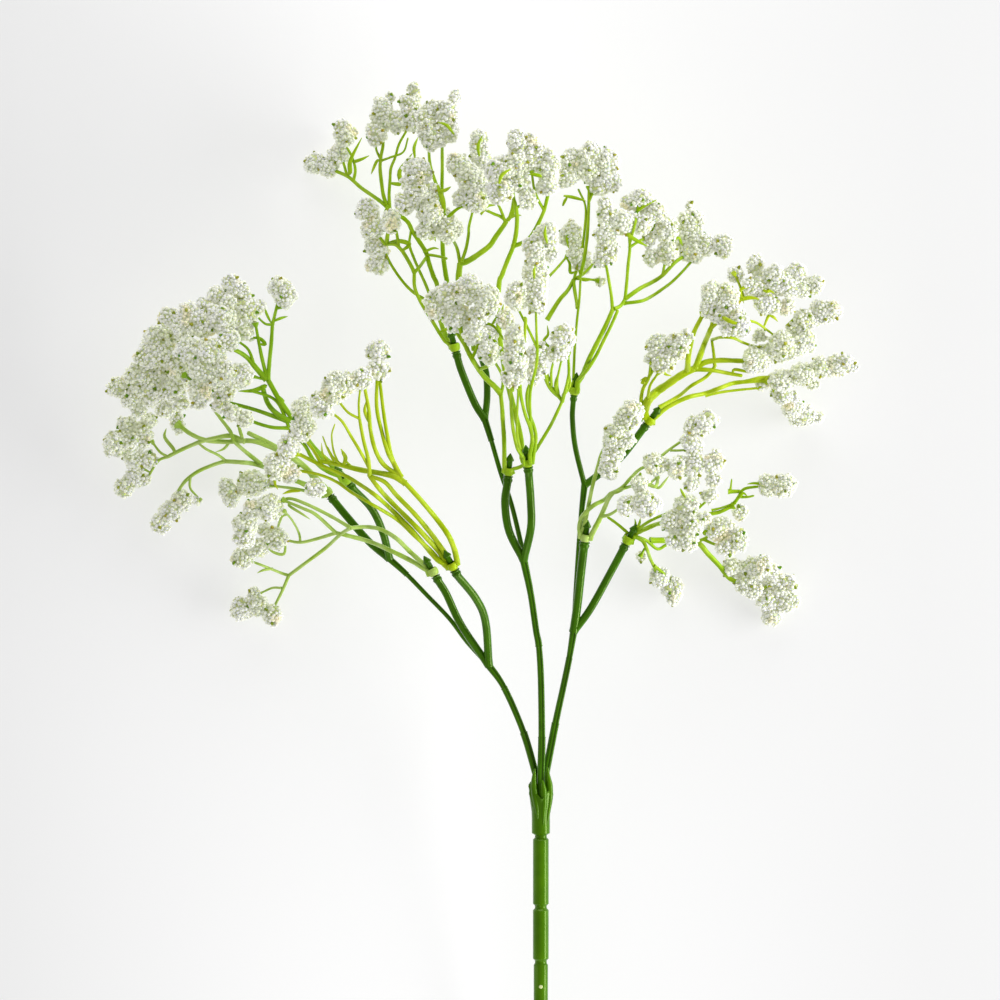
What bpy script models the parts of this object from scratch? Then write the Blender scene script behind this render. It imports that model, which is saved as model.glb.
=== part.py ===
"""Artificial gypsophila stem, lying on a table.

A moulded stem with a wire core holds three branching arms. Each arm ends in four pegs,
and a slip-on spray sits on each peg. Foam-bead blossoms coat the tips of every spray.

Places are in millimetres in the stem's frame: +Y runs up the stem from its crown, +X to
the right, and Z is the height over the table. The model is made in metres and then moved
so that its origin is at the middle of its foot print, on the table.
"""
import math

import bmesh
import bpy
from mathutils import Matrix, Vector
from mathutils.bvhtree import BVHTree

MM = 0.001
GAP = 0.32
SLACK = 0.1
EDGE = 0.05
SHARP_ANGLE = 50
TUBE_ROUNDNESS = 1

# Main stem: its cut end, its crown and the rings moulded round it
STEM_END_Y = -200.0
CROWN_TOP_Y = 5.1
CROWN_TOP_Z = 22.4
STEM_RADIUS = 2.4
UPPER_STEM_RADIUS = 2.65
RING_RADIUS = 2.0
RING_HALF_WIDTH = 0.4
RING_SHOULDER = 0.5
FIRST_RINGS_Y = (-12.5, -36.2, -54.6)
RING_PITCH = 20.8
LOWER_RINGS = 6
CROWN_RADIUS = 4.2
CROWN_TAPER = 0.3
CROWN_NECK_RADIUS = 3.05
CROWN_NECK_LENGTH = 3.0
SOCKET_RADIUS = 3.15
SOCKET_DEPTH = 8.0
WIRE_RADIUS = 0.75
WIRE_BORE_RADIUS = 1.1
WIRE_BORE_TOP_Y = -15.0
STEM_SIDES = 12

# Arms: shafts, fork collars, and the pegs that carry the sprays
SHAFT_RADIUS = 1.2
TWIG_RADIUS = 1.0
EXTENSION_RADIUS = 0.75
FORK_RADIUS = 1.6
EXTENSION_FORK_RADIUS = 1.2
FORK_LENGTH = 2.4
FORK_SHOULDER = 0.3
FORK_ROOT = 0.45
COLLAR_RADIUS = 1.6
COLLAR_LENGTH = 1.7
PEG_RADIUS = 0.85
BARB_RADIUS = 1.0
PEG_TIP_RADIUS = 0.3
PEG_REACH = 3.6
ARM_SPACING = 2.76
STRAIGHT_FOOT = 2.0
ARM_STEPS = 2

# Sprays: the ring on the peg and the arms that leave it
RING_OUTER = 2.1
RING_BORE = 1.3
RING_HEIGHT = 2.6
RING_SIDES = 8
SPRAY_RADIUS = 0.95
FORKED_RADIUS = 0.7
TIP_RADIUS = 0.42
TAPER_POWER = 1.5
ROOT_DROP = 0.35
ROOT_STAGGER = 0.17
ROOT_RISE = 1.2
CURVE_STEPS = 90

# Blossoms: lumps above these half sizes get more sides, or keep their depth as their width
SMALL_LUMP = 4.6
TALL_LUMP = 5.6
LUMP_TURN = 0.37

# Colours of the mouldings and the beads, linear
STEM_GREEN = (0.075, 0.25, 0.017)
ARM_GREEN = (0.045, 0.15, 0.008)
SPRAY_GREEN = (0.36, 0.56, 0.02)
STEEL = (0.45, 0.45, 0.44)
BEAD_WHITE = (0.78, 0.8, 0.7)

ARMS = {
    "left": dict(
        shaft=[(-5.8, 22.3, 24), (-12.3, 37.3, 26), (-18, 45.5, 27)],
        extension=[(-24.7, 52.6, 22), (-38, 68, 18), (-51.5, 81, 17)],
        seat=-1,
    ),
    "middle": dict(
        shaft=[(0.3, 20.8, 26), (0, 40.3, 29), (-1.6, 56.3, 31), (-6, 81, 35)],
        extension=[(-6.8, 86, 32), (-9.9, 98.8, 29), (-13.3, 108.7, 28), (-19.1, 128, 29)],
        seat=0,
    ),
    "right": dict(
        shaft=[(4.9, 25.4, 22), (9.5, 47.2, 25), (11.1, 57, 26)],
        extension=[(11.8, 72, 25), (13.2, 92, 26), (14.7, 106, 28)],
        seat=1,
    ),
}

# Each spray: the arm and fork that carry its peg, the twig up to the peg, the ring's
# centre and aim, the arms, and the blossoms as lumps of x, y, z, half width, half height
SPRAYS = {
    "left_1": dict(
        arm="left", fork="shaft", twig=[(-26.5, 58, 30), (-31.5, 68.5, 32.5)],
        hub=(-36, 76, 34), aim=(-0.5, 0.86, 0.1),
        arms=[
            ["hub", (-50, 83, 32), (-65, 89, 26), (-77, 87, 20), (-89, 87, 17)],
            ["hub", (-48, 88, 37), (-63.5, 92, 36), (-78, 97, 32), (-90, 97.5, 28)],
            ["hub", (-43, 80, 29), (-58, 86, 22), (-72, 84, 16), (-84.5, 74, 10), (-90, 61.5, 6)],
        ],
        blossoms=dict(
            a=[(-90, 61.5, 6, 3.5, 3.5), (-94.6, 64.5, 5.5, 3.6, 3.4), (-99.5, 63.5, 4, 4, 4)],
            b=[(-99.5, 80.5, 17, 3.2, 3.2), (-95, 84, 17, 3.5, 3.3), (-89, 87, 17, 4.5, 4.5)],
            c=[(-98.5, 91, 27, 4.5, 4.5), (-96, 97, 28, 4, 4), (-90.5, 97.5, 28, 5, 5)],
        ),
    ),
    "left_2": dict(
        arm="left", fork="shaft", twig=[(-18.5, 59.3, 34), (-21.6, 67, 39)],
        hub=(-29.5, 78, 45), aim=(-0.45, 0.86, 0.25),
        arms=[
            ["hub", (-31, 88.5, 51), (-40, 100, 56), (-47, 108, 58), (-53, 122, 61), (-54, 142, 62)],
            ["hub", (-41, 91, 50), (-54, 104, 57), (-60, 120, 62), (-65, 130, 64), (-69, 137, 66)],
            ["hub", (-38, 84, 45), (-50, 96, 49), (-65, 107, 51), (-77, 113, 53), (-84, 117, 54)],
        ],
        blossoms=dict(
            a=[(-54, 143, 62, 2.7, 4.2), (-54.2, 149.3, 62, 2.6, 4)],
            b=[(-68.5, 137, 66, 4.6, 6.5), (-73, 131.5, 65, 4, 6), (-63.5, 139, 66, 3, 3),
               (-59.5, 140, 66, 2.7, 2.7)],
            c=[(-79.5, 126, 56, 4.5, 7), (-84, 118, 54, 4.6, 5), (-87, 111, 52, 5.5, 5.5)],
        ),
    ),
    "left_3": dict(
        arm="left", fork="extension", twig=[(-52.8, 89, 22), (-56.5, 97, 26)],
        hub=(-65, 106.5, 31), aim=(-0.62, 0.75, 0.2),
        arms=[
            ["hub", (-76, 116, 35), (-84, 126, 37), (-91, 140, 37), (-89.7, 158, 35), (-87, 171, 33)],
            [(-84, 126, 37), (-95, 131, 33), (-108, 134, 29), (-120, 142, 26)],
            [(-91, 140, 37), (-95, 141, 37), (-101, 141, 36)],
            [(-90.7, 148, 36.3), (-93, 157, 36), (-98, 164, 34)],
        ],
        blossoms=dict(
            a=[(-133, 139, 22, 8, 8), (-128, 150, 24, 9, 8), (-120, 143, 26, 7, 7)],
            b=[(-110, 141, 40, 8, 6.5), (-102, 141, 37, 6, 5), (-111, 149, 41, 8, 5)],
            c=[(-117, 160, 34, 9, 6), (-107, 161, 35, 8, 7), (-98, 164, 34, 5, 5),
               (-101, 170, 34, 4, 4)],
            d=[(-87, 171, 33, 2.7, 3.6), (-85.3, 168, 33, 2.4, 2.4)],
        ),
    ),
    "left_4": dict(
        arm="left", fork="extension", twig=[(-57.5, 86, 15.5), (-65, 94.5, 15)],
        hub=(-71.5, 102.5, 15), aim=(-0.62, 0.78, 0.0),
        arms=[
            ["hub", (-84, 109.5, 15), (-100, 113, 14), (-113, 109.5, 13), (-120, 100, 12)],
            ["hub", (-83, 114, 19), (-97, 120, 20), (-114, 119.5, 18), (-127, 116.5, 15),
             (-138, 118, 14)],
            ["hub", (-81, 106, 10), (-97, 105.5, 6)],
        ],
        blossoms=dict(
            a=[(-127.5, 92, 12, 3.2, 3.2), (-124.3, 96, 12, 3, 3), (-120.5, 99.5, 12, 2.8, 2.8)],
            b=[(-139, 119, 14, 6.8, 5.8), (-133.5, 122.5, 14, 4.7, 4.7), (-135.5, 113.5, 13, 4.6, 4.6),
               (-136.5, 107.5, 12, 3.9, 3.9)],
            c=[(-104, 101.5, 5, 5, 5), (-97, 105.5, 5.5, 5.5, 5.5)],
        ),
    ),
    "middle_1": dict(
        arm="middle", fork="shaft", twig=[(-10.6, 89.5, 38), (-12, 99, 40)],
        hub=(-10.8, 109.5, 42), aim=(0.1, 0.97, 0.2),
        arms=[
            ["hub", (-12.8, 121, 45), (-13.2, 134, 48), (-18, 142, 50), (-25.5, 153, 52),
             (-27.5, 161, 54)],
            ["hub", (-3.5, 113, 44), (1, 120, 48), (6.2, 131, 54), (8.6, 140, 58), (8, 154, 60)],
        ],
        blossoms=dict(
            a=[(-35, 165, 53, 5.5, 6.5), (-27.5, 161, 54, 5.5, 5.5), (-21.5, 155, 56, 6, 4.5),
               (-17.5, 149, 58, 4, 5), (-25, 170.5, 57, 6, 6), (-17.5, 167, 58, 6, 6)],
            b=[(8, 154.5, 60, 4.6, 5.5), (6, 149, 60, 3.2, 3.2)],
        ),
    ),
    "middle_2": dict(
        arm="middle", fork="shaft", twig=[(-3.4, 90.5, 41), (-3.4, 99, 44)],
        hub=(-4.5, 112.5, 50), aim=(-0.1, 0.93, 0.35),
        arms=[
            ["hub", (-8.3, 122, 57), (-9.8, 131, 64), (-8, 146, 73)],
            ["hub", (-1.8, 122, 53), (-4.3, 133, 57), (-1.5, 146, 60)],
            ["hub", (-6.5, 122, 49), (-12, 143, 40), (-14.3, 168, 38), (-10.5, 181, 40),
             (-8.5, 192, 46), (-13, 203, 52)],
            [(-10.5, 181, 40), (-3.5, 187, 43), (1.3, 196, 49), (2.2, 207, 52)],
            ["hub", (-1.6, 126, 61), (-1, 145, 71), (-1.6, 156, 74), (-1.8, 167, 73)],
        ],
        blossoms=dict(
            a=[(-8.5, 144, 72, 5.2, 6.5), (-8.5, 153, 73, 5, 7)],
            b=[(-1.5, 146, 60, 3.6, 7)],
            c=[(-8, 167.5, 73, 5.5, 6), (-1.5, 168, 73, 4.2, 7.5), (-1.8, 180, 70, 3.2, 8),
               (2, 187.5, 69, 4, 6)],
            d=[(-14, 203.5, 52, 6.5, 6), (-9, 211, 52, 6, 6), (-8, 219, 52, 4, 4.5),
               (-2.6, 214, 52, 3.6, 6), (2.2, 207, 52, 3.4, 8)],
        ),
    ),
    "middle_3": dict(
        arm="middle", fork="extension", twig=[(-22.2, 132.5, 30), (-26.5, 143, 32)],
        hub=(-28.8, 151, 34), aim=(-0.25, 0.95, 0.15),
        arms=[
            ["hub", (-36, 158.5, 32), (-41.3, 168, 29), (-42.4, 176, 27), (-47, 185, 25),
             (-50, 193, 25)],
            [(-47, 185, 25), (-52, 185.8, 23), (-56, 190.5, 22)],
            ["hub", (-34, 163, 24), (-38.5, 181, 19), (-45, 193, 17), (-51.5, 199, 17),
             (-53.8, 212, 20), (-53.3, 228, 22)],
            [(-51.5, 199, 17), (-62, 206.5, 9), (-70, 211, 5)],
        ],
        blossoms=dict(
            a=[(-58, 197, 21, 3.2, 4.5), (-56.2, 191, 21, 3.2, 4), (-55, 184.8, 19, 2.7, 3.8),
               (-54.8, 178.8, 18, 2.6, 4)],
            b=[(-50, 193.5, 26, 3.8, 4.6)],
            c=[(-76, 213, 3.3, 3.3, 3.3), (-71, 212, 4.3, 3.3, 3), (-67.8, 216, 4.8, 3.6, 4),
               (-66, 222.5, 6.3, 4, 4.4)],
            d=[(-53, 230, 20, 3.9, 5), (-54.8, 222.8, 21, 3.4, 4.5), (-48.5, 227, 20, 3.4, 3.4),
               (-44, 229.5, 20, 3.8, 8)],
        ),
    ),
    "middle_4": dict(
        arm="middle", fork="extension", twig=[(-18, 134, 27), (-18.2, 141.5, 25)],
        hub=(-20.5, 151, 23), aim=(-0.22, 0.96, -0.1),
        arms=[
            ["hub", (-26, 165, 26), (-29, 178, 30), (-32.5, 188, 32), (-36, 195, 34)],
            [(-29, 178, 30), (-25.3, 180, 32), (-17, 184.5, 34), (-12.5, 191.5, 34),
             (-17, 197, 35), (-22, 204, 36)],
            ["hub", (-30, 168, 18), (-33, 190, 14), (-33, 210, 19), (-33, 222, 29)],
        ],
        blossoms=dict(
            a=[(-42, 205, 34, 6, 8), (-36, 195.5, 34, 7, 6), (-45, 198.5, 34, 4.5, 4.5)],
            b=[(-31, 227, 31, 4.5, 8), (-37, 221, 31, 5, 6), (-38, 228, 31, 3.6, 4)],
            c=[(-22, 205, 36, 7, 7.5), (-27.5, 211.5, 36, 5, 5), (-20.5, 216.5, 36, 4.4, 6)],
        ),
    ),
    "right_1": dict(
        arm="right", fork="shaft", twig=[(12.2, 65, 28), (13.4, 76, 31)],
        hub=(14.8, 87.5, 35), aim=(0.13, 0.95, 0.28),
        arms=[
            ["hub", (16.3, 97, 40), (18.3, 108, 46), (23.5, 114, 50)],
            ["hub", (13.3, 94, 37), (19, 99.5, 40), (28, 104, 43), (38, 112, 46)],
            ["hub", (19.2, 92.5, 40), (22, 95.5, 45), (28, 97.5, 50)],
        ],
        blossoms=dict(
            a=[(27.5, 124.5, 52, 5.2, 8), (24, 115.5, 51, 4, 5), (22.5, 110.5, 50, 3.8, 4)],
            b=[(38, 112, 46, 5, 5), (45.5, 111, 46, 4.5, 4), (52, 112, 46, 4.2, 4),
               (58, 113, 46, 3.8, 4), (51, 118, 46, 4, 4), (52, 124.5, 46, 6, 4)],
            c=[(36, 99, 52, 6, 5.5), (28.5, 98, 52, 4.5, 4.5)],
        ),
    ),
    "right_2": dict(
        arm="right", fork="shaft", twig=[(16.6, 63.7, 27), (23.4, 76, 28)],
        hub=(29, 86.5, 30), aim=(0.46, 0.86, 0.15),
        arms=[
            ["hub", (35, 84.5, 26), (37.3, 79.5, 16), (39.4, 74.5, 7)],
            ["hub", (34.5, 92.5, 33), (43, 93, 34)],
            ["hub", (37, 87, 23), (48, 84, 18), (57.5, 79.5, 12), (63, 77, 9)],
            [(48, 84, 18), (54, 86.5, 20), (59, 90.5, 22)],
            ["hub", (38, 91.5, 28.5), (52, 94.5, 27.4), (62, 98.5, 28), (67, 102.5, 29),
             (76, 104.8, 30)],
        ],
        blossoms=dict(
            a=[(39.9, 73.8, 6, 4, 3.7), (44, 70, 4, 3.8, 4.2)],
            b=[(48, 98.5, 34.5, 5, 5), (50, 92, 35, 5, 4.5), (47, 87, 35, 5.5, 3.4),
               (43.5, 93, 34.5, 3.4, 3)],
            c=[(66, 87, 22, 4, 4.5), (59, 90.5, 22, 5, 3), (62.3, 84.5, 22, 3, 3)],
            d=[(73, 78, 9, 6, 4), (69, 72, 8, 5, 3.5), (64, 77.3, 8, 4, 3.4),
               (82, 71.5, 7, 4.8, 3.4), (77, 75, 8, 4, 3), (82, 66, 6, 3.7, 3.4),
               (76.6, 67, 5.5, 3.4, 4), (77.8, 61.8, 3, 3.4, 2.6)],
            e=[(81, 105, 30, 5.2, 3.4), (76, 104.8, 30, 3.2, 2.6)],
        ),
    ),
    "right_3": dict(
        arm="right", fork="extension", twig=[(11.5, 117.5, 31), (10.5, 127, 34)],
        hub=(11.2, 136.5, 37), aim=(0.12, 0.96, 0.22),
        arms=[
            ["hub", (11.4, 151, 41), (13, 172, 41), (15.5, 196, 39), (16, 208, 38)],
            [(12.4, 164, 41), (11, 172, 34), (12.8, 181, 30)],
            ["hub", (16.5, 146, 44), (20, 154, 46), (23.7, 163, 47), (22, 174, 46),
             (22, 183, 44)],
            [(23.7, 163, 47), (28, 167, 44), (29.3, 178, 41), (32.5, 190, 39)],
            [(28, 167, 44), (38, 173.5, 37), (44.5, 177, 33), (51, 183, 30)],
        ],
        blossoms=dict(
            a=[(10, 209, 38, 4.5, 5), (16.5, 210.5, 38, 5.5, 6), (22, 208, 38, 4.5, 7)],
            b=[(10, 188.5, 30, 3.2, 5), (13, 181.5, 30, 4.5, 4.5)],
            c=[(22, 192, 44, 4.5, 8), (22, 182.5, 44, 3.6, 6), (28, 192.5, 43, 5, 5),
               (33.5, 192, 41, 4, 4), (37.5, 196, 39, 5, 5), (42, 190, 37, 5, 6),
               (42, 182.5, 37, 4.2, 5), (32.5, 200, 40, 4.5, 5)],
            d=[(50, 183, 29, 5.5, 3.5), (55, 185, 29, 4, 4), (61, 184.7, 29, 4, 2.8),
               (50, 191, 29, 2.2, 6.5)],
        ),
    ),
    "right_4": dict(
        arm="right", fork="extension", twig=[(20, 109, 27.5), (27, 114.5, 27)],
        hub=(36.3, 126.5, 28), aim=(0.6, 0.78, 0.15),
        arms=[
            ["hub", (41, 135, 33), (48.5, 142.5, 36), (58, 146, 36), (73, 147, 34)],
            [(48.5, 142.5, 36), (50.3, 151, 41), (53.5, 159, 43), (58, 167, 44)],
            [(53.5, 145, 36.2), (56, 154, 33), (62, 163, 33), (72, 171, 38)],
            ["hub", (44, 131.5, 26), (55, 135.5, 23), (67, 138.3, 20), (80, 140.5, 19)],
            ["hub", (34.5, 133, 36), (37, 140, 41), (40.5, 146, 45)],
        ],
        blossoms=dict(
            a=[(39, 152, 44, 3.4, 4.5), (40.5, 146, 45, 3.8, 4.2), (45.5, 151.5, 46, 3.8, 6)],
            b=[(57, 168, 45, 4.5, 6.5), (63, 165, 45, 5, 7), (65, 157.5, 46, 7, 4.5)],
            c=[(72, 171, 38, 6, 5), (80, 173, 38, 7, 6), (76, 165, 38, 6, 4.5),
               (87, 170.5, 37, 4.8, 4)],
            d=[(72, 147, 34, 6, 6), (81, 151, 34, 6.5, 6), (88, 153.5, 33, 4.5, 5),
               (87.5, 160, 32, 4, 4.5), (95, 162.5, 31, 5.5, 3.4)],
            e=[(80, 140.5, 18, 5.5, 4), (87.5, 142, 18, 5, 4), (93.5, 144.5, 18, 4, 3.4),
               (100, 145, 18, 4.6, 3.4), (81, 135.5, 13.5, 4.4, 4.4), (84.5, 131, 8.5, 4.6, 4.6),
               (88.5, 128.5, 4.3, 5, 3.6)],
        ),
    ),
}


def stem_axis():
    """The stem's cut end and its direction: it slopes from the table up to the crown."""
    slope = math.atan2(CROWN_TOP_Z - STEM_RADIUS, CROWN_TOP_Y - STEM_END_Y)
    end = Vector((0, STEM_END_Y, STEM_RADIUS * math.cos(slope)))
    return end, (Vector((0, CROWN_TOP_Y, CROWN_TOP_Z)) - end).normalized()


def along_stem(y):
    """The point on the stem's axis at a height of y up the stem."""
    end, direction = stem_axis()
    return end + direction * ((y - STEM_END_Y) / direction.y)


def material(name, colour, roughness, metallic=0.0):
    """A plain surface in the piece's own colour."""
    surface = bpy.data.materials.new(name + "_surface")
    surface.use_nodes = True
    shader = surface.node_tree.nodes["Principled BSDF"]
    shader.inputs["Base Color"].default_value = (*colour, 1.0)
    shader.inputs["Roughness"].default_value = roughness
    shader.inputs["Metallic"].default_value = metallic
    return surface


def new_object(name, mesh, collection):
    """Put a mesh in a new object of the given collection."""
    thing = bpy.data.objects.new(name, mesh)
    collection.objects.link(thing)
    return thing


def plain_mesh(thing, name):
    """Replace an object by a welded mesh of what its curve or modifiers make."""
    depsgraph = bpy.context.evaluated_depsgraph_get()
    mesh = bpy.data.meshes.new_from_object(thing.evaluated_get(depsgraph))
    shape = bmesh.new()
    shape.from_mesh(mesh)
    bmesh.ops.remove_doubles(shape, verts=shape.verts, dist=1e-7)
    bmesh.ops.dissolve_degenerate(shape, edges=shape.edges, dist=1e-7)
    bmesh.ops.recalc_face_normals(shape, faces=shape.faces)
    shape.to_mesh(mesh)
    shape.free()
    matrix = thing.matrix_world.copy()
    bpy.data.objects.remove(thing)
    result = new_object(name, mesh, parts)
    result.matrix_world = matrix
    return result


def smooth(points, steps):
    """Points on a smooth curve through the hand-chosen ones."""
    ends = [points[0] * 2 - points[1]] + points + [points[-1] * 2 - points[-2]]
    curve = []
    for before, start, stop, after in zip(ends, ends[1:], ends[2:], ends[3:]):
        for step in range(steps):
            t = step / steps
            curve.append(0.5 * (2 * start + (stop - before) * t
                                + (2 * before - 5 * start + 4 * stop - after) * t ** 2
                                + (3 * start - before - 3 * stop + after) * t ** 3))
    return curve + [points[-1]]


def tube(name, points, radii):
    """A closed tube through points in millimetres, with a radius at each."""
    curve = bpy.data.curves.new(name, "CURVE")
    curve.dimensions = "3D"
    curve.bevel_depth = MM
    curve.bevel_resolution = TUBE_ROUNDNESS
    curve.use_fill_caps = True
    spline = curve.splines.new("POLY")
    spline.points.add(len(points) - 1)
    for target, point, radius in zip(spline.points, points, radii):
        target.co = (*(point * MM), 1.0)
        target.radius = radius
    return plain_mesh(new_object(name, curve, parts), name)


def turned(name, profile, sides, place, direction):
    """Turn a profile of (radius, height) about an axis, and set it at a place."""
    mesh = bpy.data.meshes.new(name)
    corners = [(radius * MM, 0, height * MM) for radius, height in profile]
    mesh.from_pydata(corners, [(i, i + 1) for i in range(len(corners) - 1)], [])
    thing = new_object(name, mesh, parts)
    screw = thing.modifiers.new("turn", "SCREW")
    screw.steps = sides
    screw.render_steps = sides
    screw.use_merge_vertices = True
    screw.merge_threshold = 1e-6
    turn = direction.to_track_quat("Z", "Y").to_matrix().to_4x4()
    thing.matrix_world = Matrix.Translation(place * MM) @ turn
    return plain_mesh(thing, name)


def unite(name, pieces):
    """Join overlapping pieces into one closed body."""
    first = pieces[0]
    for piece in pieces[1:]:
        join = first.modifiers.new("join", "BOOLEAN")
        join.operation = "UNION"
        join.solver = "EXACT"
        join.object = piece
    bpy.context.view_layer.update()
    result = plain_mesh(first, name)
    for piece in pieces[1:]:
        bpy.data.objects.remove(piece)
    return result


def finish(thing, name, colour, roughness, metallic=0.0):
    """Name a finished piece, shade it and give it its surface."""
    thing.name = name
    thing.data.name = name
    thing.data.materials.clear()
    thing.data.materials.append(material(name, colour, roughness, metallic))
    thing.data.shade_smooth()
    thing.data.set_sharp_from_angle(angle=math.radians(SHARP_ANGLE))
    return thing


def make_stem():
    """The moulded stem: a wire bore, rings all the way up, and a crown with a socket."""
    end, direction = stem_axis()
    rings = list(FIRST_RINGS_Y)
    rings += [FIRST_RINGS_Y[-1] - RING_PITCH * (i + 1) for i in range(LOWER_RINGS)]
    profile = [
        (0, CROWN_TOP_Y - SOCKET_DEPTH),
        (SOCKET_RADIUS, CROWN_TOP_Y - SOCKET_DEPTH),
        (SOCKET_RADIUS, CROWN_TOP_Y),
        (CROWN_RADIUS, CROWN_TOP_Y),
        (CROWN_RADIUS - CROWN_TAPER, CROWN_TOP_Y - SOCKET_DEPTH),
        (CROWN_NECK_RADIUS, CROWN_TOP_Y - SOCKET_DEPTH - CROWN_NECK_LENGTH),
    ]
    above = CROWN_NECK_RADIUS
    for number, ring in enumerate(rings):
        below = UPPER_STEM_RADIUS if number < 2 else STEM_RADIUS
        profile.append((above, ring + RING_HALF_WIDTH + RING_SHOULDER))
        profile.append((RING_RADIUS, ring + RING_HALF_WIDTH))
        profile.append((RING_RADIUS, ring - RING_HALF_WIDTH))
        profile.append((below, ring - RING_HALF_WIDTH - RING_SHOULDER))
        above = below
    profile += [
        (STEM_RADIUS, STEM_END_Y),
        (WIRE_BORE_RADIUS, STEM_END_Y),
        (WIRE_BORE_RADIUS, WIRE_BORE_TOP_Y),
        (0, WIRE_BORE_TOP_Y),
    ]
    heights = [(radius, (y - STEM_END_Y) / direction.y) for radius, y in profile]
    stem = turned("main_stem", heights, STEM_SIDES, end, direction)
    finish(stem, "main_stem", STEM_GREEN, 0.4)
    length = (WIRE_BORE_TOP_Y - STEM_END_Y) / direction.y - GAP
    core = [(0, length), (WIRE_RADIUS, length), (WIRE_RADIUS, 0), (0, 0)]
    wire = turned("stem_wire", core, RING_SIDES, end, direction)
    finish(wire, "stem_wire", STEEL, 0.35, 1.0)


def seat_in_crown(number):
    """Where an arm stands in the crown's socket: two side by side, one in front."""
    direction = stem_axis()[1]
    up = Vector((0, -direction.z, direction.y))
    half = ARM_SPACING / 2
    drop = half * math.tan(math.radians(30))
    lift = half / math.cos(math.radians(30))
    across = Vector((number * half, 0, 0))
    return across + up * (-drop if number else lift)


def peg_twig(name, start, spray):
    """A twig of an arm with the collar and the barbed peg that hold a spray."""
    hub = Vector(spray["hub"])
    aim = Vector(spray["aim"]).normalized()
    seat = hub - aim * (RING_HEIGHT / 2 + GAP)
    way = [start] + [Vector(p) for p in spray["twig"]] + [seat - aim * (COLLAR_LENGTH + 2 * EDGE)]
    points = smooth(way, ARM_STEPS)
    radii = [TWIG_RADIUS] * len(points)
    above_ring = RING_HEIGHT + 2 * GAP
    steps = [
        (-COLLAR_LENGTH, COLLAR_RADIUS),
        (0, COLLAR_RADIUS),
        (EDGE, PEG_RADIUS),
        (above_ring, PEG_RADIUS),
        (above_ring + 2 * EDGE, BARB_RADIUS),
        (RING_HEIGHT + PEG_REACH, PEG_TIP_RADIUS),
    ]
    for height, radius in steps:
        points.append(seat + aim * height)
        radii.append(radius)
    return tube(name, points, radii)


def limb(way, radius, fork_radius):
    """A limb's points and radii, with a thicker fork at its end, and where its twigs start."""
    last = (way[-1] - way[-2]).normalized()
    points = smooth(way[:-1] + [way[-1] - last * FORK_LENGTH], ARM_STEPS)
    radii = [radius] * len(points) + [fork_radius, fork_radius]
    points += [way[-1] - last * (FORK_LENGTH - FORK_SHOULDER), way[-1]]
    return points, radii, way[-1] - last * (FORK_LENGTH * FORK_ROOT)


def make_arm(name, arm):
    """One branching arm: shaft, thin extension, and a peg for each of its sprays."""
    offset = seat_in_crown(arm["seat"])
    foot = along_stem(CROWN_TOP_Y - SOCKET_DEPTH + GAP + SLACK) + offset
    mouth = along_stem(CROWN_TOP_Y + STRAIGHT_FOOT) + offset
    forks = {}
    way = [mouth] + [Vector(p) for p in arm["shaft"]]
    points, radii, forks["shaft"] = limb(way, SHAFT_RADIUS, FORK_RADIUS)
    pieces = [tube("shaft", [foot] + points, [SHAFT_RADIUS] + radii)]
    way = [forks["shaft"]] + [Vector(p) for p in arm["extension"]]
    points, radii, forks["extension"] = limb(way, EXTENSION_RADIUS, EXTENSION_FORK_RADIUS)
    pieces.append(tube("extension", points, radii))
    for spray in SPRAYS.values():
        if spray["arm"] == name:
            pieces.append(peg_twig("twig", forks[spray["fork"]], spray))
    finish(unite("arm", pieces), "arm_" + name, ARM_GREEN, 0.42)


def make_lump(lump, turn):
    """One bead-covered bud: an ellipsoid, coarser where it is small."""
    x, y, z, half_width, half_height = lump
    half_depth = (half_width + half_height) / 2 if half_height < TALL_LUMP else half_width
    sides = 6 if min(half_width, half_height) < SMALL_LUMP else 8
    mesh = bpy.data.meshes.new("lump")
    shape = bmesh.new()
    bmesh.ops.create_uvsphere(shape, u_segments=sides, v_segments=4, radius=1)
    size = Matrix.Diagonal((half_width * MM, half_height * MM, half_depth * MM, 1))
    place = Matrix.Translation(Vector((x, y, z)) * MM)
    spin = Matrix.Rotation(turn, 4, "Z")
    bmesh.ops.transform(shape, matrix=place @ size @ spin, verts=shape.verts)
    shape.to_mesh(mesh)
    shape.free()
    return new_object("lump", mesh, parts)


def make_blossoms(name, spray):
    """The bead-covered heads of one spray, each a single body."""
    heads = {}
    for letter, lumps in spray["blossoms"].items():
        pieces = [make_lump(lump, LUMP_TURN * number) for number, lump in enumerate(lumps)]
        head = unite("head", pieces) if len(pieces) > 1 else pieces[0]
        title = "blossoms_%s_%s" % (name, letter)
        heads[title] = finish(head, title, BEAD_WHITE, 0.8)
    return heads


def stop_at_blossom(way, heads):
    """Points along a path, up to just short of the blossom that it carries."""
    trees = []
    for head in heads.values():
        shape = bmesh.new()
        shape.from_mesh(head.data)
        trees.append(BVHTree.FromBMesh(shape))
        shape.free()
    fine = smooth(way, CURVE_STEPS)
    last = len(fine) - 1
    for index, point in enumerate(fine):
        near = min(tree.find_nearest(point * MM)[3] for tree in trees)
        if near < (GAP + TIP_RADIUS) * MM:
            last = index - 1
            break
    return fine[0:last - CURVE_STEPS // 4:CURVE_STEPS] + [fine[last]]


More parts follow.
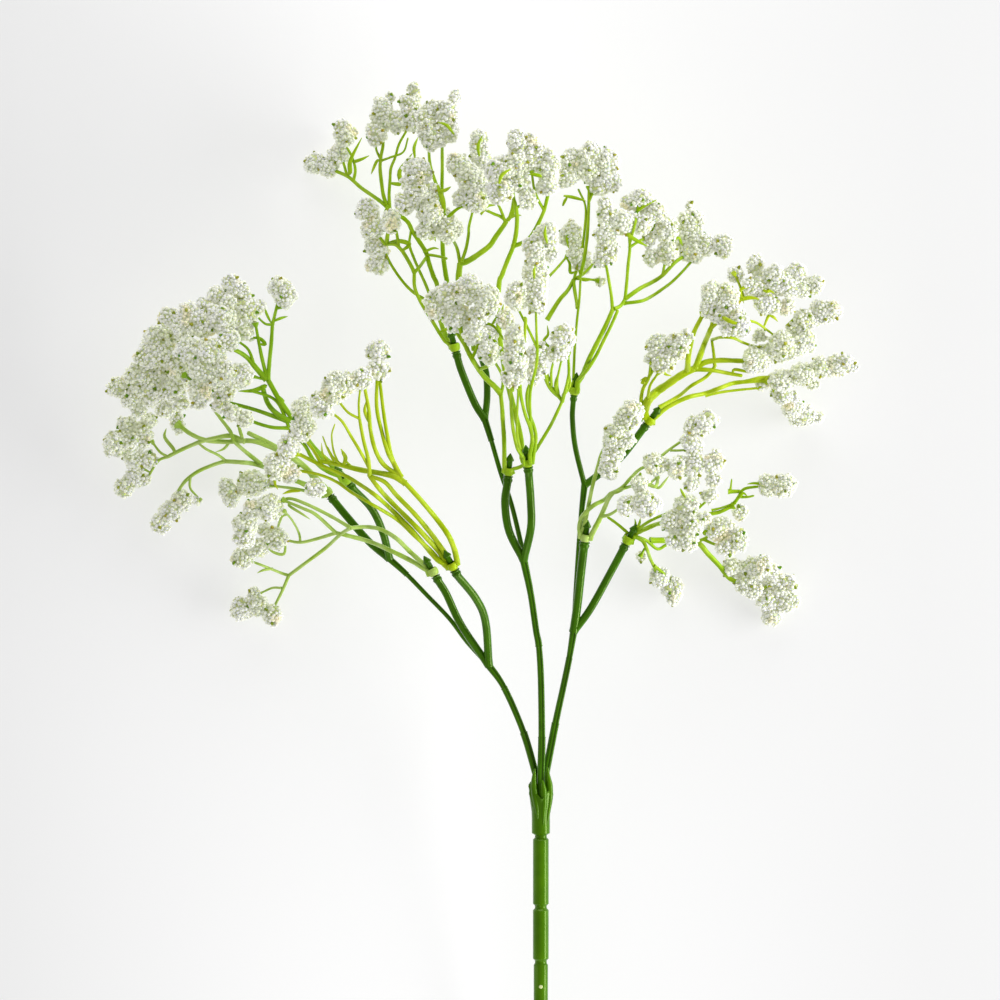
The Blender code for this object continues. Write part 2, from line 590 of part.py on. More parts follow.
def make_spray(name, spray, heads):
    """A slip-on spray: the ring round its peg and the arms out to the blossoms."""
    hub = Vector(spray["hub"])
    aim = Vector(spray["aim"]).normalized()
    half = RING_HEIGHT / 2
    profile = [
        (RING_OUTER, half),
        (RING_OUTER, -half),
        (RING_BORE, -half),
        (RING_BORE, half),
        (RING_OUTER, half),
    ]
    pieces = [turned("ring", profile, RING_SIDES, hub, aim)]
    for number, route in enumerate(spray["arms"]):
        if route[0] == "hub":
            radius = SPRAY_RADIUS
            way = [Vector(p) for p in route[1:]]
            out = way[0] - hub
            out = (out - aim * out.dot(aim)).normalized()
            side = hub + out * (RING_BORE + radius + SLACK)
            root = side - aim * (ROOT_DROP + ROOT_STAGGER * number)
            way = [root, side + aim * (half + ROOT_RISE)] + way
        else:
            radius = FORKED_RADIUS
            way = [Vector(p) for p in route]
        points = stop_at_blossom(way, heads)
        last = len(points) - 1
        radii = [radius + (TIP_RADIUS - radius) * (i / last) ** TAPER_POWER for i in range(last + 1)]
        pieces.append(tube("arm", points, radii))
    finish(unite("spray", pieces), "spray_" + name, SPRAY_GREEN, 0.45)


def stand_on_origin():
    """Move everything so that the origin is under the middle, at table height."""
    corners = [thing.matrix_world @ v.co for thing in parts.objects for v in thing.data.vertices]
    low = [min(c[axis] for c in corners) for axis in range(3)]
    high = [max(c[axis] for c in corners) for axis in range(3)]
    shift = Vector((-(low[0] + high[0]) / 2, -(low[1] + high[1]) / 2, -low[2]))
    for thing in parts.objects:
        thing.data.transform(Matrix.Translation(shift) @ thing.matrix_world)
        thing.matrix_world = Matrix.Identity(4)


for old in list(bpy.data.objects):
    bpy.data.objects.remove(old)
parts = bpy.data.collections.new("gypsophila_stem")
bpy.context.scene.collection.children.link(parts)

make_stem()
for arm_name, arm_data in ARMS.items():
    make_arm(arm_name, arm_data)
for spray_name, spray_data in SPRAYS.items():
    make_spray(spray_name, spray_data, make_blossoms(spray_name, spray_data))
stand_on_origin()
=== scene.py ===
"""Artificial gypsophila stem: the looks of its moulded green plastic and its foam-bead flowers.

Places are in millimetres in the stem's own frame: +Y runs up the stem from its crown, +X to the
right, and Z is the height over the table. Each piece is made there and then moved to its CAD node.
"""
import math
import random

import bmesh
import bpy
from mathutils import Matrix, Vector
from mathutils.bvhtree import BVHTree


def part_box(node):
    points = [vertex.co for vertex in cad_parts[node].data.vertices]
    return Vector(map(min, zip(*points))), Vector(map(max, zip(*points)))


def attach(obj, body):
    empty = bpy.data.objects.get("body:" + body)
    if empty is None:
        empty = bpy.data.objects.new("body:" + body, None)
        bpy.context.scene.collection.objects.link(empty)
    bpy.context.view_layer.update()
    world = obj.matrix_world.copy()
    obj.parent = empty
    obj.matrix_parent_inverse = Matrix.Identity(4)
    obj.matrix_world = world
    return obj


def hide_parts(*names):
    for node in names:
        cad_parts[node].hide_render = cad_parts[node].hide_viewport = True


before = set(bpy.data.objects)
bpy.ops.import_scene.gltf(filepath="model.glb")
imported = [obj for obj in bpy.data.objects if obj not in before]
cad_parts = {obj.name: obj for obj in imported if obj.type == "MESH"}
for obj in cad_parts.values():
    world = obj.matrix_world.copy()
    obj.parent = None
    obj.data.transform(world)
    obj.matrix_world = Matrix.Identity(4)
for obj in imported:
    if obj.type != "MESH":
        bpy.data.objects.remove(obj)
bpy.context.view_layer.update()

MM = 0.001

# The camera: the photograph is 333 mm wide at the height of the middle of the flower head
PHOTO_WIDTH = 333.33
PHOTO_CENTRE = (-13.67, 100.0)
MIDDLE_HEIGHT = 40.0
CAMERA_DISTANCE = 5000.0
SENSOR_WIDTH = 36.0

# The studio, in metres and watts: each softbox has its place, width, height and power
FARTHEST_SEEN = 20.0
PAPER_SIZE = 12.0
PAPER_GLOW = 1.38
SKY_STRENGTH = 0.42
SOFTBOXES = {
    "light_right": ((2.3, -0.3, 0.78), 2.6, 0.8, 76.0),
    "light_left": ((-2.4, 0.2, 0.62), 1.1, 2.6, 8.0),
    "light_top": ((0.0, 2.4, 0.9), 2.4, 1.1, 26.0),
    "light_foot": ((0.0, -2.4, 0.9), 2.4, 1.1, 16.0),
}

# Turned shapes: corners nearer than this, in metres, are one, and edges over this angle stay sharp
MERGE_DISTANCE = 1e-6
SHARP_ANGLE = 40

# Main stem, as in the CAD model
STEM_END_Y = -200.0
CROWN_TOP_Y = 5.1
CROWN_TOP_Z = 22.4
STEM_RADIUS = 2.4
UPPER_STEM_RADIUS = 2.65
UPPER_STEM_RINGS = 2
STEM_EDGE = 0.15
STEM_SIDES = 40
WIRE_BORE_RADIUS = 1.1
WIRE_BORE_TOP_Y = -15.0

# The rings round the stem, and how deep and how wide each point of their rounded shoulder is
RING_RADIUS = 2.0
RING_HALF_WIDTH = 0.35
RING_SHOULDER = 0.75
RING_CURVE = ((0.0, 1.0), (0.25, 0.75), (0.7, 0.35), (1.0, 0.0))
FIRST_RINGS_Y = (-12.5, -36.2, -54.6)
RING_PITCH = 20.8
LOWER_RINGS = 6

# The paler gate mark on the stem, with its flat face as a share of its radius
GATE_MARK_Y = -63.0
GATE_MARK_RADIUS = 0.65
GATE_MARK_FACE = 0.7
GATE_MARK_PROUD = 0.3
GATE_MARK_SUNK = 0.6
GATE_MARK_SIDES = 16

# The crown's funnel, from the edge of its socket down to its neck: radius and place up the stem
SOCKET_RADIUS = 3.15
SOCKET_DEPTH = 8.0
CROWN_NECK_RADIUS = 3.05
CROWN_NECK_Y = -6.0
CROWN_OUTLINE = (
    (SOCKET_RADIUS, 5.0), (3.3, CROWN_TOP_Y), (4.0, CROWN_TOP_Y), (4.2, 4.8), (4.05, 3.4), (3.85, 1.0),
    (3.5, -1.6), (3.15, -4.0), (CROWN_NECK_RADIUS, CROWN_NECK_Y),
)

# How the crown is shaped, by height over the socket's floor and by angle from its front in radians:
# ridges swell on its front, and its torn rim dips in front and at the right
CROWN_SHAPED_ABOVE = -6.0
CROWN_SOLID_BELOW = 1.0
SOCKET_WALL = 0.3
CROWN_RIDGE = 0.4
CROWN_RIDGE_WIDTH = 0.24
CROWN_RIDGES_AT = (-0.65, 0.15, 1.05)
CROWN_RIDGE_HEIGHTS = (-4.0, 5.0)
CROWN_NOTCH = 4.2
CROWN_NOTCH_START = 3.0
CROWN_NOTCH_RISE = 5.0
# Each dip's angle, width and share of the notch, then each ragged wave's height, number and shift
CROWN_DIPS = ((0.0, 0.7, 1.0), (1.5, 0.55, 0.9))
CROWN_WAVES = ((0.35, 7, 1), (0.25, 13, 0))

# The arms' feet, moulded over the crown's front, and last the torn flange at its left: the x, the y
# and the width of each place. They lie on the flared wall and lean back in over its top
CROWN_FEET = (
    ((-2.0, 10.2, 0.5), (-2.3, 7.4, 1.5), (-2.35, 4.4, 2.2), (-1.9, 0.8, 2.2), (-1.3, -3.4, 1.5),
     (-1.0, -7.0, 0.3)),
    ((0.5, 6.4, 0.4), (0.7, 4.6, 1.7), (0.9, 2.4, 2.4), (0.95, -1.0, 2.4), (0.85, -5.0, 1.7),
     (0.7, -9.0, 0.3)),
    ((2.2, 10.6, 0.5), (2.5, 7.6, 1.4), (2.95, 4.6, 2.1), (2.95, 0.4, 2.2), (2.45, -4.4, 1.5),
     (1.9, -9.0, 0.3)),
    ((-3.75, 5.2, 0.35), (-3.75, 4.2, 0.95), (-3.45, 3.0, 0.7), (-3.5, 1.8, 1.05), (-2.95, -0.4, 0.8),
     (-2.75, -2.6, 0.4)),
)
CROWN_FLARE = 1.1
CROWN_FLARE_TOP_Y = 4.0
FOOT_LEAN = 0.2
FOOT_LEAN_FROM_Y = 5.0
FOOT_SUNK = 0.25
FOOT_SIDES = 14
FOOT_STEPS = 5

# The arms in the crown's socket: their feet are packed in a triangle
ARM_SPACING = 2.76
PACKING_ANGLE = 30
FOOT_GAP = 0.42
STRAIGHT_FOOT = 2.0
ARM_SIDES = 16
ARM_STEPS = 6
# The step where an arm changes its thickness: its reach before, its half length and its bulge
STEP_REACH = 0.35
STEP_HALF = 0.12
STEP_BULGE = 0.12
# How far blunt ends go past a fork, and how far under it the next parts start
SHAFT_END = (1.0, 1.6)
EXTENSION_END = (0.7,)
END_RADIUS = 0.5
FORK_OVERLAP = 1.1
FORK_SWELL = 1.1

# The collar and the peg at the end of each of an arm's twigs
COLLAR_RADIUS = 1.62
COLLAR_TWIG_WIDTH = 2.6
THIN_COLLAR_RADIUS = 1.25
COLLAR_LEAD = 2.2
# The collar by height from its top and share of its radius, then the peg by height and radius
COLLAR_OUTLINE = ((-1.7, 0.93), (-1.02, 1.0), (-0.85, 0.86), (-0.3, 0.84), (-0.15, 1.04), (0.0, 1.0))
PEG_OUTLINE = (
    (0.05, 0.9), (3.24, 0.9), (3.34, 1.035), (5.172, 0.99), (5.356, 1.45), (5.816, 1.3775),
    (6.92, 0.725), (7.84, 0.15),
)

# Grooves: the way that a section's grooved corners face, and the depth of each groove and the strength of
# the painted shade down it
GROOVE_WAY = (0.383, -0.924, 0.0)
GROOVE_EDGE = 0.97
NO_GROOVE = (0.0, 0.0)
ARM_GROOVE_AND_SHADE = (0.35, 0.9)
PEG_GROOVE_AND_SHADE = (0.06, 0.35)
TWIG_GROOVE_AND_SHADE = (0.12, 0.45)
BRACT_GROOVE_AND_SHADE = (0.3, 0.4)

# Sprays: the ring on each peg, by radius and height from its middle, and where twigs leave its side
RING_OUTER = 1.9
RING_HEIGHT = 2.6
RING_GAP = 0.32
RING_SIDES = 24
RING_OUTLINE = (
    (1.45, 1.3), (1.7, 1.15), (RING_OUTER, 0.7), (1.88, 0.0), (1.7, -0.8), (1.4, -1.3), (1.35, -1.3),
    (1.35, 1.2), (1.45, 1.3),
)
RING_TWIG_REACH = 5.0
RING_TWIG_FOOT = ((0.35, 0.55), (0.1, 0.2))

# Twigs: how uneven and how thick at their start they are, and the cup under a head or the plain tip
TWIG_SIDES = 12
TWIG_STEPS = 5
TWIG_UNEVEN = (0.95, 1.05)
RING_TWIG_START = 0.5
FORK_TWIG_START = 1.15
CUP_REACH = 1.5
CUP_OUTLINE = ((0.5, 0.7), (1.1, 1.05), (1.7, 1.15))
TIP_OUTLINE = ((0.3, 0.25),)

# Bracts are flat and pointed: a bract within these distances of a twig grows out of it, and its
# width follows a sine curve between these two shares of a half turn
BRACT_SIDES = 8
BRACT_STEPS = 4
BRACT_FLATNESS = 0.45
BRACT_JOIN = (0.6, 6.0)
BRACT_FULLNESS = 0.4
BRACT_START = 0.12
BRACT_RUN = 0.85
BRACT_BLUNTNESS = 0.8

# Heights that are left out come from the CAD model's corners, the nearest ones weighing most
CORNER_BLUR = 0.5
CORNER_POWER = 3
HIGH_ABOVE = 200
FAR_BELOW = -50

# Flower heads: florets are the round lumps, and three balls fill the middle of each head
FLORET_SHARE = 0.4
FLORET_RADIUS = (1.0, 1.45)
FLORET_AREA = 2.1
LEAST_FLORETS = 7
LEAST_AREA = 0.3
GOLDEN_TURN = 3 - math.sqrt(5)
HEAD_LEAN = 12
FLORET_TURN = 0.4
FLORET_PLACES = (0.8, 1.2)
FLORET_SIZES = (0.7, 1.15)
MIDDLE_SHARE = 0.62
LEAST_MIDDLE = 0.9
MIDDLE_MARGIN = 0.8
HEAD_PROUD = 0.5
TABLE_GAP = 0.8

# Balls under the CAD node's surface: one for each face, and smaller knobs for some of them
BACKING_DEPTH = 3.6
BACKING_RADIUS = 1.9
KNOB_SHARE = 0.6
KNOB_DEPTHS = (1.2, 3.2)
KNOB_RADII = (0.8, 1.4)

# The core that the florets melt into, and its lumps
CORE_VOXEL = 0.62
CORE_THRESHOLD = 0.1
LUMP_SIZE = 1.7
LUMP_EDGES = (0.3, 0.7)
LUMP_IN = -0.45
LUMP_OUT = 0.4

# The beads that coat it, with bald spots and fewer beads where it faces the table
BEAD_DIAMETER = 1.38
BEAD_SPACING = 0.93
BEADS_PER_SQUARE = 4
BEAD_SIZES = (0.72, 1.15)
BEAD_RAISE = 0.25
UNIT_BEAD_RADIUS = 0.53
WHOLE_TURN = 6.3
BALD_SPOT = 2.6
BALD_EDGES = (0.27, 0.33)
UNDERSIDE_EDGES = (-0.75, -0.35)
UNDERSIDE_SHARE = 0.35
RAISE_SEED = 11
SIZE_SEED = 7
TURN_SEED = 3

# The calyx tips that stand between the beads
CALYX_SPACING = 3.4
CALYXES_PER_SQUARE = 0.035
CALYX_SIDES = 6
CALYX_TOP = 0.3
CALYX_FOOT = 0.68
CALYX_HEIGHT = 1.0

# Random draws have fixed seeds: this one for the twigs, and each blossom node's own number
TWIG_SEED = 5

ARMS = {
    "left": dict(
        seat=-1,
        shaft=[(-5.8, 22.3, 24), (-12.3, 37.3, 26), (-18, 45.5, 27)],
        shaft_width=[2.4, (2.5, 2.1), (2.2, 2.0), 2.6],
        extension=[(-24.7, 52.6, 22), (-30.5, 60.2, 20), (-38, 68, 18), (-45, 75.2, 17), (-51.5, 81, 17)],
        extension_width=[1.6, 1.6, 1.5, 1.5, (1.6, 1.9), 2.3],
    ),
    "middle": dict(
        seat=0,
        shaft=[(0.3, 20.8, 26), (0, 40.3, 29), (-0.7, 51.3, 30.3), (-1.6, 56.3, 31), (-3.4, 68.6, 33),
               (-6, 81, 35)],
        shaft_width=[2.6, (2.5, 2.3), 2.2, (2.1, 2.35), 2.2, 2.2, 2.7],
        extension=[(-6.8, 86, 32), (-9.9, 98.8, 29), (-13.3, 108.7, 28), (-16.6, 120, 28.5),
                   (-19.1, 128, 29)],
        extension_width=[1.8, 1.7, 1.6, 1.6, (1.6, 2.0), 2.4],
    ),
    "right": dict(
        seat=1,
        shaft=[(4.9, 25.4, 22), (7.4, 37, 23.5), (9.5, 47.2, 25), (11.1, 57, 26)],
        shaft_width=[2.6, (2.6, 2.3), 2.2, (2.2, 2.0), 2.6],
        extension=[(11.8, 72, 25), (13.2, 92, 26), (14.7, 106, 28)],
        extension_width=[1.6, 1.6, 1.6, 2.4],
    ),
}

# Each spray: the arm and fork that hold its peg, the twig up to the peg and its width, the ring's
# centre and aim, and the colour of its moulding
SPRAYS = {
    "left_1": dict(arm="left", fork="shaft", twig=[(-26.5, 58, 30), (-31.5, 68.5, 32.5)], width=2.6,
                   hub=(-36, 76, 34), aim=(-0.5, 0.86, 0.1), colour="pale"),
    "left_2": dict(arm="left", fork="shaft", twig=[(-18.5, 59.3, 34), (-21.6, 67, 39)], width=2.7,
                   hub=(-29.5, 78, 45), aim=(-0.45, 0.86, 0.25), colour="yellow"),
    "left_3": dict(arm="left", fork="extension", twig=[(-52.8, 89, 22), (-56.5, 97, 26)], width=2.6,
                   hub=(-65, 106.5, 31), aim=(-0.62, 0.75, 0.2), colour="green"),
    "left_4": dict(arm="left", fork="extension", twig=[(-57.5, 86, 15.5), (-65, 94.5, 15)], width=2.6,
                   hub=(-71.5, 102.5, 15), aim=(-0.62, 0.78, 0.0), colour="pale"),
    "middle_1": dict(arm="middle", fork="shaft", twig=[(-10.6, 89.5, 38), (-12, 99, 40)], width=2.7,
                     hub=(-10.8, 109.5, 42), aim=(0.1, 0.97, 0.2), colour="lime"),
    "middle_2": dict(arm="middle", fork="shaft", twig=[(-3.4, 90.5, 41), (-3.4, 99, 44)], width=2.7,
                     hub=(-4.5, 112.5, 50), aim=(-0.1, 0.93, 0.35), colour="lime"),
    "middle_3": dict(arm="middle", fork="extension", twig=[(-22.2, 132.5, 30), (-26.5, 143, 32)],
                     width=2.5, hub=(-28.8, 151, 34), aim=(-0.25, 0.95, 0.15), colour="lime"),
    "middle_4": dict(arm="middle", fork="extension", twig=[(-18, 134, 27), (-18.2, 141.5, 25)],
                     width=2.3, hub=(-20.5, 151, 23), aim=(-0.22, 0.96, -0.1), colour="lime"),
    "right_1": dict(arm="right", fork="shaft", twig=[(12.2, 65, 28), (13.4, 76, 31)], width=2.9,
                    hub=(14.8, 87.5, 35), aim=(0.13, 0.95, 0.28), colour="pale"),
    "right_2": dict(arm="right", fork="shaft", twig=[(16.6, 63.7, 27), (23.4, 76, 28)], width=2.6,
                    hub=(29, 86.5, 30), aim=(0.46, 0.86, 0.15), colour="lime"),
    "right_3": dict(arm="right", fork="extension", twig=[(11.5, 117.5, 31), (10.5, 127, 34)], width=1.8,
                    hub=(11.2, 136.5, 37), aim=(0.12, 0.96, 0.22), colour="lime"),
    "right_4": dict(arm="right", fork="extension", twig=[(20, 109, 27.5), (27, 114.5, 27)], width=2.5,
                    hub=(36.3, 126.5, 28), aim=(0.6, 0.78, 0.15), colour="yellow"),
}

# The twigs of each spray: width at its start and end, then the places it runs through. A place
# with no height takes it from the CAD model's spray and flower heads
TWIGS = {
    "left_1": [
        (1.7, 1.4, (-38, 76.5), (-43, 79.5), (-50, 83), (-57, 86), (-65, 88.2), (-68.5, 89)),
        (1.3, 1.0, (-68.5, 89), (-75, 95), (-79, 97), (-85, 99.5)),
        (1.3, 0.9, (-68.5, 89), (-75, 87), (-80.5, 85.8), (-85, 86.5)),
        (0.9, 0.7, (-80.5, 86), (-81, 89), (-83, 93), (-85, 95.5)),
        (1.7, 1.3, (-38.5, 78), (-44, 83), (-48, 87), (-53, 90), (-58, 91), (-63.5, 90.7)),
        (1.3, 1.0, (-63.5, 90.7), (-70, 94.5), (-78, 98.5), (-84, 100.5), (-88, 99)),
        (1.3, 1.2, (-63.5, 90.7), (-67, 88.5), (-72, 84), (-78, 79.5), (-84.5, 74.7)),
        (1.1, 0.8, (-84.5, 74.7), (-87, 75.5), (-93, 78), (-97, 79.5)),
        (1.2, 0.8, (-84.5, 74.7), (-86.5, 70), (-88.5, 66), (-89.8, 63.5)),
        (0.9, 0.7, (-87, 70.5), (-90, 70.5), (-93.5, 69)),
    ],
    "left_2": [
        (2.0, 1.6, (-28, 80), (-29, 84), (-31, 88.5), (-35, 94), (-40, 100), (-45, 105.5), (-47, 107.5)),
        (1.5, 1.2, (-47, 107.5), (-49, 112), (-51, 116), (-53, 123), (-54.6, 131), (-54.4, 141)),
        (1.5, 1.1, (-46.3, 107.5), (-49.5, 114), (-51, 121), (-52.3, 129), (-53.5, 139)),
        (2.1, 1.5, (-45, 105.5), (-50, 108.2), (-60, 110), (-68, 112), (-74, 113)),
        (1.0, 0.6, (-66, 111.5), (-69, 114), (-71, 117.5)),
        (0.9, 0.6, (-62, 110.4), (-64.5, 112.5), (-66, 115.5)),
        (0.8, 0.5, (-69, 113), (-71, 117), (-72.5, 121)),
        (0.8, 0.5, (-67.5, 112.5), (-69, 116.5), (-69.5, 121.5), (-68.5, 125)),
        (1.6, 1.2, (-48, 108.5), (-52.5, 112), (-55.2, 117), (-56.7, 123.5), (-57.2, 130), (-58.5, 137)),
        (1.8, 1.4, (-31, 81), (-36, 88), (-42, 95.3), (-48, 101.5), (-52, 106), (-57, 108)),
        (1.9, 1.5, (-32, 80), (-35, 84), (-41, 90.5), (-50, 99.5), (-54, 104), (-57, 108)),
        (1.4, 1.1, (-57, 108), (-57.3, 113), (-59, 120), (-60.3, 127)),
        (1.0, 0.8, (-60.3, 127), (-64, 129), (-67, 132.5)),
        (0.9, 0.7, (-60.3, 127), (-60.5, 132), (-60, 137)),
        (1.2, 0.9, (-57.3, 111), (-60, 116), (-63, 121), (-66, 126), (-69.5, 129)),
        (1.7, 1.3, (-31.5, 78.5), (-34.5, 80), (-38, 84), (-43, 90), (-50, 97), (-55, 101.5), (-60, 105),
         (-65, 108), (-72, 111), (-80, 115)),
        (1.4, 1.0, (-33, 79), (-37, 83.5), (-41.5, 87.5), (-48, 93.5), (-57, 99), (-63, 102.5), (-68, 106),
         (-74, 108.5), (-82, 110)),
        (1.2, 0.9, (-73, 112), (-76, 117), (-79, 121)),
    ],
    "left_3": [
        (2.2, 1.7, (-66.5, 108.5), (-70, 112), (-76, 117.5), (-82, 126), (-87, 133), (-91, 140)),
        (1.5, 1.2, (-91, 140), (-90.6, 146), (-90, 152), (-89.6, 158.5)),
        (1.2, 0.9, (-89.6, 158.5), (-88.3, 164), (-87, 169.5)),
        (1.4, 1.0, (-91.5, 141), (-93, 147), (-94, 152), (-95, 157.5)),
        (2.0, 1.3, (-91.5, 140), (-95, 144), (-98, 147.5), (-102, 150), (-107, 151.5)),
        (1.1, 0.8, (-95.5, 144.5), (-97.5, 150), (-101, 153)),
        (1.9, 1.6, (-82, 126), (-87, 128), (-91, 132), (-93, 138)),
        (1.5, 1.0, (-84, 126), (-95, 130), (-108, 134), (-118, 141)),
        (1.0, 0.9, (-88.3, 164), (-86.3, 164.4), (-85, 166)),
        (1.0, 0.7, (-89.6, 158.5), (-92, 158.8), (-94.5, 161)),
        (1.6, 1.2, (-67.5, 108), (-72, 110), (-76, 113.5), (-79, 118.5), (-84, 124)),
        (1.3, 1.0, (-84, 124), (-90, 124.3), (-97, 126.5), (-101, 129)),
        (1.2, 1.0, (-84, 124), (-85.5, 128), (-87.5, 132), (-90.5, 134.5), (-97, 136.5)),
        (1.0, 0.8, (-91, 140), (-96, 141), (-101, 141)),
    ],
    "left_4": [
        (2.2, 1.6, (-74, 104.5), (-78, 110), (-83, 114.3), (-90, 118.5), (-98, 122.5)),
        (2.0, 1.4, (-73.5, 105.5), (-79, 111), (-85, 115), (-91, 118), (-97, 119.8), (-105, 119.5),
         (-112, 120), (-117, 122), (-120.5, 124.5)),
        (1.8, 1.1, (-74, 103.5), (-81, 106), (-89, 109), (-95, 113), (-102, 119), (-104, 123), (-107, 127),
         (-110, 131)),
        (1.7, 1.5, (-75, 103), (-85, 108), (-95, 111.8), (-100, 112.6), (-106, 113)),
        (1.4, 1.0, (-106, 113), (-110, 111.7), (-115, 109.5), (-119, 106.5), (-121.5, 103), (-123.7, 99),
         (-126, 94.5)),
        (1.1, 0.8, (-105.5, 113), (-108, 115), (-112, 117), (-115, 119.3)),
        (1.7, 1.3, (-99, 119.5), (-104, 121.5), (-110, 120.5), (-114, 119.5), (-120, 117), (-125, 114.5)),
        (1.0, 0.8, (-125, 114.5), (-127.5, 116), (-129.5, 118.5)),
        (1.1, 0.8, (-125, 114.5), (-128, 113.3), (-130, 110.5), (-132, 107)),
        (1.0, 0.7, (-117.5, 107.8), (-117.5, 104), (-115, 101)),
        (1.2, 0.9, (-73, 101.5), (-81, 103.5), (-88, 104.5), (-94, 105)),
        (0.9, 0.7, (-92, 105), (-97, 103), (-102, 101.5)),
    ],
    "middle_1": [
        (1.6, 1.4, (-12.2, 110.5), (-12.3, 120), (-12.7, 126), (-13, 131), (-13.5, 135.5)),
        (2.0, 1.5, (-13.5, 135.5), (-15.5, 137.8), (-18.5, 140.6), (-20.7, 143.4), (-23, 147), (-25, 151),
         (-26.8, 156.5)),
        (1.2, 0.9, (-13.4, 135), (-12.7, 138.5), (-13.2, 142), (-15.5, 146)),
        (1.4, 1.0, (-20.7, 143.4), (-17.8, 144.5), (-16.3, 146)),
        (1.3, 1.1, (-9.5, 110.3), (-7, 111), (-5, 112.5), (-2.5, 115.5), (0, 119.5), (3, 124.5), (5, 128.5),
         (7, 132.8)),
        (1.3, 0.9, (7, 132.8), (8.2, 137), (9.2, 142), (9, 147.5)),
        (1.2, 0.7, (7, 132.8), (4.6, 136), (2.2, 139), (1.2, 142.5)),
        (1.0, 0.7, (5.5, 135), (5.2, 139), (6.5, 145.5)),
        (1.0, 0.7, (3.4, 138), (3.4, 143), (4.6, 147.5)),
        (1.4, 0.9, (-16.8, 156), (-15.2, 152.5), (-12.5, 149)),
        (1.1, 0.8, (-20.5, 158), (-17.5, 158.5), (-15, 157), (-12.5, 153.5)),
        (1.3, 0.9, (-25, 151), (-28.5, 156), (-33, 161)),
        (1.2, 0.9, (-23, 147), (-21, 151.5), (-21, 155)),
    ],
    "middle_2": [
        (1.4, 1.1, (-5.8, 114, 52), (-7.5, 116.5, 54), (-8.5, 119.5, 56), (-9.3, 123.5, 58),
         (-9.8, 128, 62), (-10, 132, 65), (-10, 138, 70)),
        (1.4, 1.1, (-3.8, 115, 53), (-3.2, 118, 55), (-3, 121, 57), (-3.8, 124.5, 60), (-5, 127.5, 63),
         (-6, 131, 65), (-6.8, 135, 68), (-7, 139, 71)),
        (0.9, 0.8, (-7, 117, 56), (-8, 122, 60), (-8, 128, 64), (-7.6, 136, 69)),
        (1.4, 1.0, (-2.5, 115, 52), (-1.8, 122, 53), (-4.3, 130, 56), (-4.6, 136, 58), (-2.5, 141, 59)),
        (1.9, 1.5, (-6.3, 114, 49), (-7, 122, 48), (-12, 143, 40), (-14.3, 160, 38), (-14, 172, 38),
         (-13, 175, 38.5), (-11.5, 179, 40), (-9.2, 184.5, 42)),
        (1.6, 1.2, (-9.2, 184.5, 42), (-8.3, 189, 45), (-8, 194, 47), (-8.5, 198, 50), (-10, 202.5, 51)),
        (1.5, 1.2, (-9.2, 184.5, 42), (-6, 185.8, 43), (-4, 187.2, 43), (-2, 190, 45), (0, 194, 48),
         (1.2, 197, 50), (2.4, 202, 52)),
        (1.1, 0.8, (1, 196.5, 50), (-0.8, 199.5, 51), (-2.3, 203.5, 52), (-3, 208, 53)),
        (1.0, 0.7, (-8.4, 197, 49), (-5.8, 199, 50), (-4.8, 202, 51)),
        (1.2, 0.8, (-2.9, 119, 56), (-3.6, 127, 61), (-3.6, 136, 66), (-1.4, 146, 71), (-1.6, 156, 73),
         (-1.8, 163, 73)),
        (1.0, 0.8, (-1.2, 150, 72), (-4, 156, 73), (-7.5, 163, 73)),
        (1.0, 0.8, (-9.5, 136, 69), (-9.5, 142, 71), (-9, 150, 72)),
    ],
    "middle_3": [
        (1.3, 1.2, (-30.5, 152.2), (-32, 153), (-34, 156), (-37, 161), (-39.5, 165), (-41.5, 169),
         (-42.3, 172), (-42.3, 176)),
        (1.4, 1.2, (-42.3, 176), (-43.5, 178.5), (-45.5, 182), (-47, 184), (-49, 185.5), (-53, 185.5)),
        (1.2, 0.9, (-42.3, 176), (-40.5, 178), (-38.5, 181), (-37.5, 182), (-34, 181.5), (-31.5, 180.8)),
        (1.2, 0.9, (-47.5, 184.3), (-48, 188), (-48.6, 191)),
        (1.2, 0.9, (-52, 185.3), (-54, 188), (-56, 190.5)),
        (1.0, 0.8, (-53, 185.5), (-55, 184), (-55.5, 181.5)),
        (1.2, 0.9, (-31, 154, 30), (-35, 162, 25), (-38.5, 166.7, 23), (-42, 169, 21), (-45, 171.7, 20),
         (-48, 175.5, 19), (-50.5, 179.5, 19), (-52.6, 184, 19)),
        (1.7, 1.4, (-31, 152.5, 31), (-33.5, 160, 26), (-34.5, 171, 21), (-36, 175, 20), (-37.5, 179.5, 19),
         (-38.5, 183, 18), (-41, 187, 17.5), (-43, 190, 17), (-44.5, 193, 17), (-47.5, 195.5, 17),
         (-50.5, 197, 17)),
        (1.1, 0.9, (-37, 168, 22), (-38.5, 172, 21), (-41, 177.5, 20), (-42.5, 181, 19), (-44, 185.5, 18),
         (-43.5, 190, 17)),
        (1.4, 1.2, (-50.5, 197, 17), (-52.5, 199, 17), (-55, 201, 15), (-60, 204.5, 11), (-62.8, 207, 9),
         (-65, 208.7, 8), (-69, 210.5, 6)),
        (1.1, 0.8, (-62.8, 207, 9), (-62.2, 211, 9), (-63.5, 215.5, 8), (-65.5, 219, 7)),
        (1.0, 0.8, (-65, 208.7, 8), (-66, 212.5, 7), (-67.3, 215.5, 6)),
        (1.0, 0.7, (-69, 210.5, 6), (-72, 211.5, 5), (-74.5, 212.7, 4)),
        (1.4, 1.0, (-51.5, 198.5, 17), (-52.7, 202, 17.5), (-53.3, 206, 18), (-53.8, 211, 19),
         (-53.5, 215, 20), (-52.8, 219, 20.5), (-52.8, 226, 21)),
        (1.2, 0.8, (-50.5, 197, 17), (-50.8, 202, 17.5), (-50.5, 207, 18), (-50.2, 211, 19),
         (-48.8, 214.5, 19.5), (-47.5, 219, 20), (-45, 223.5, 20)),
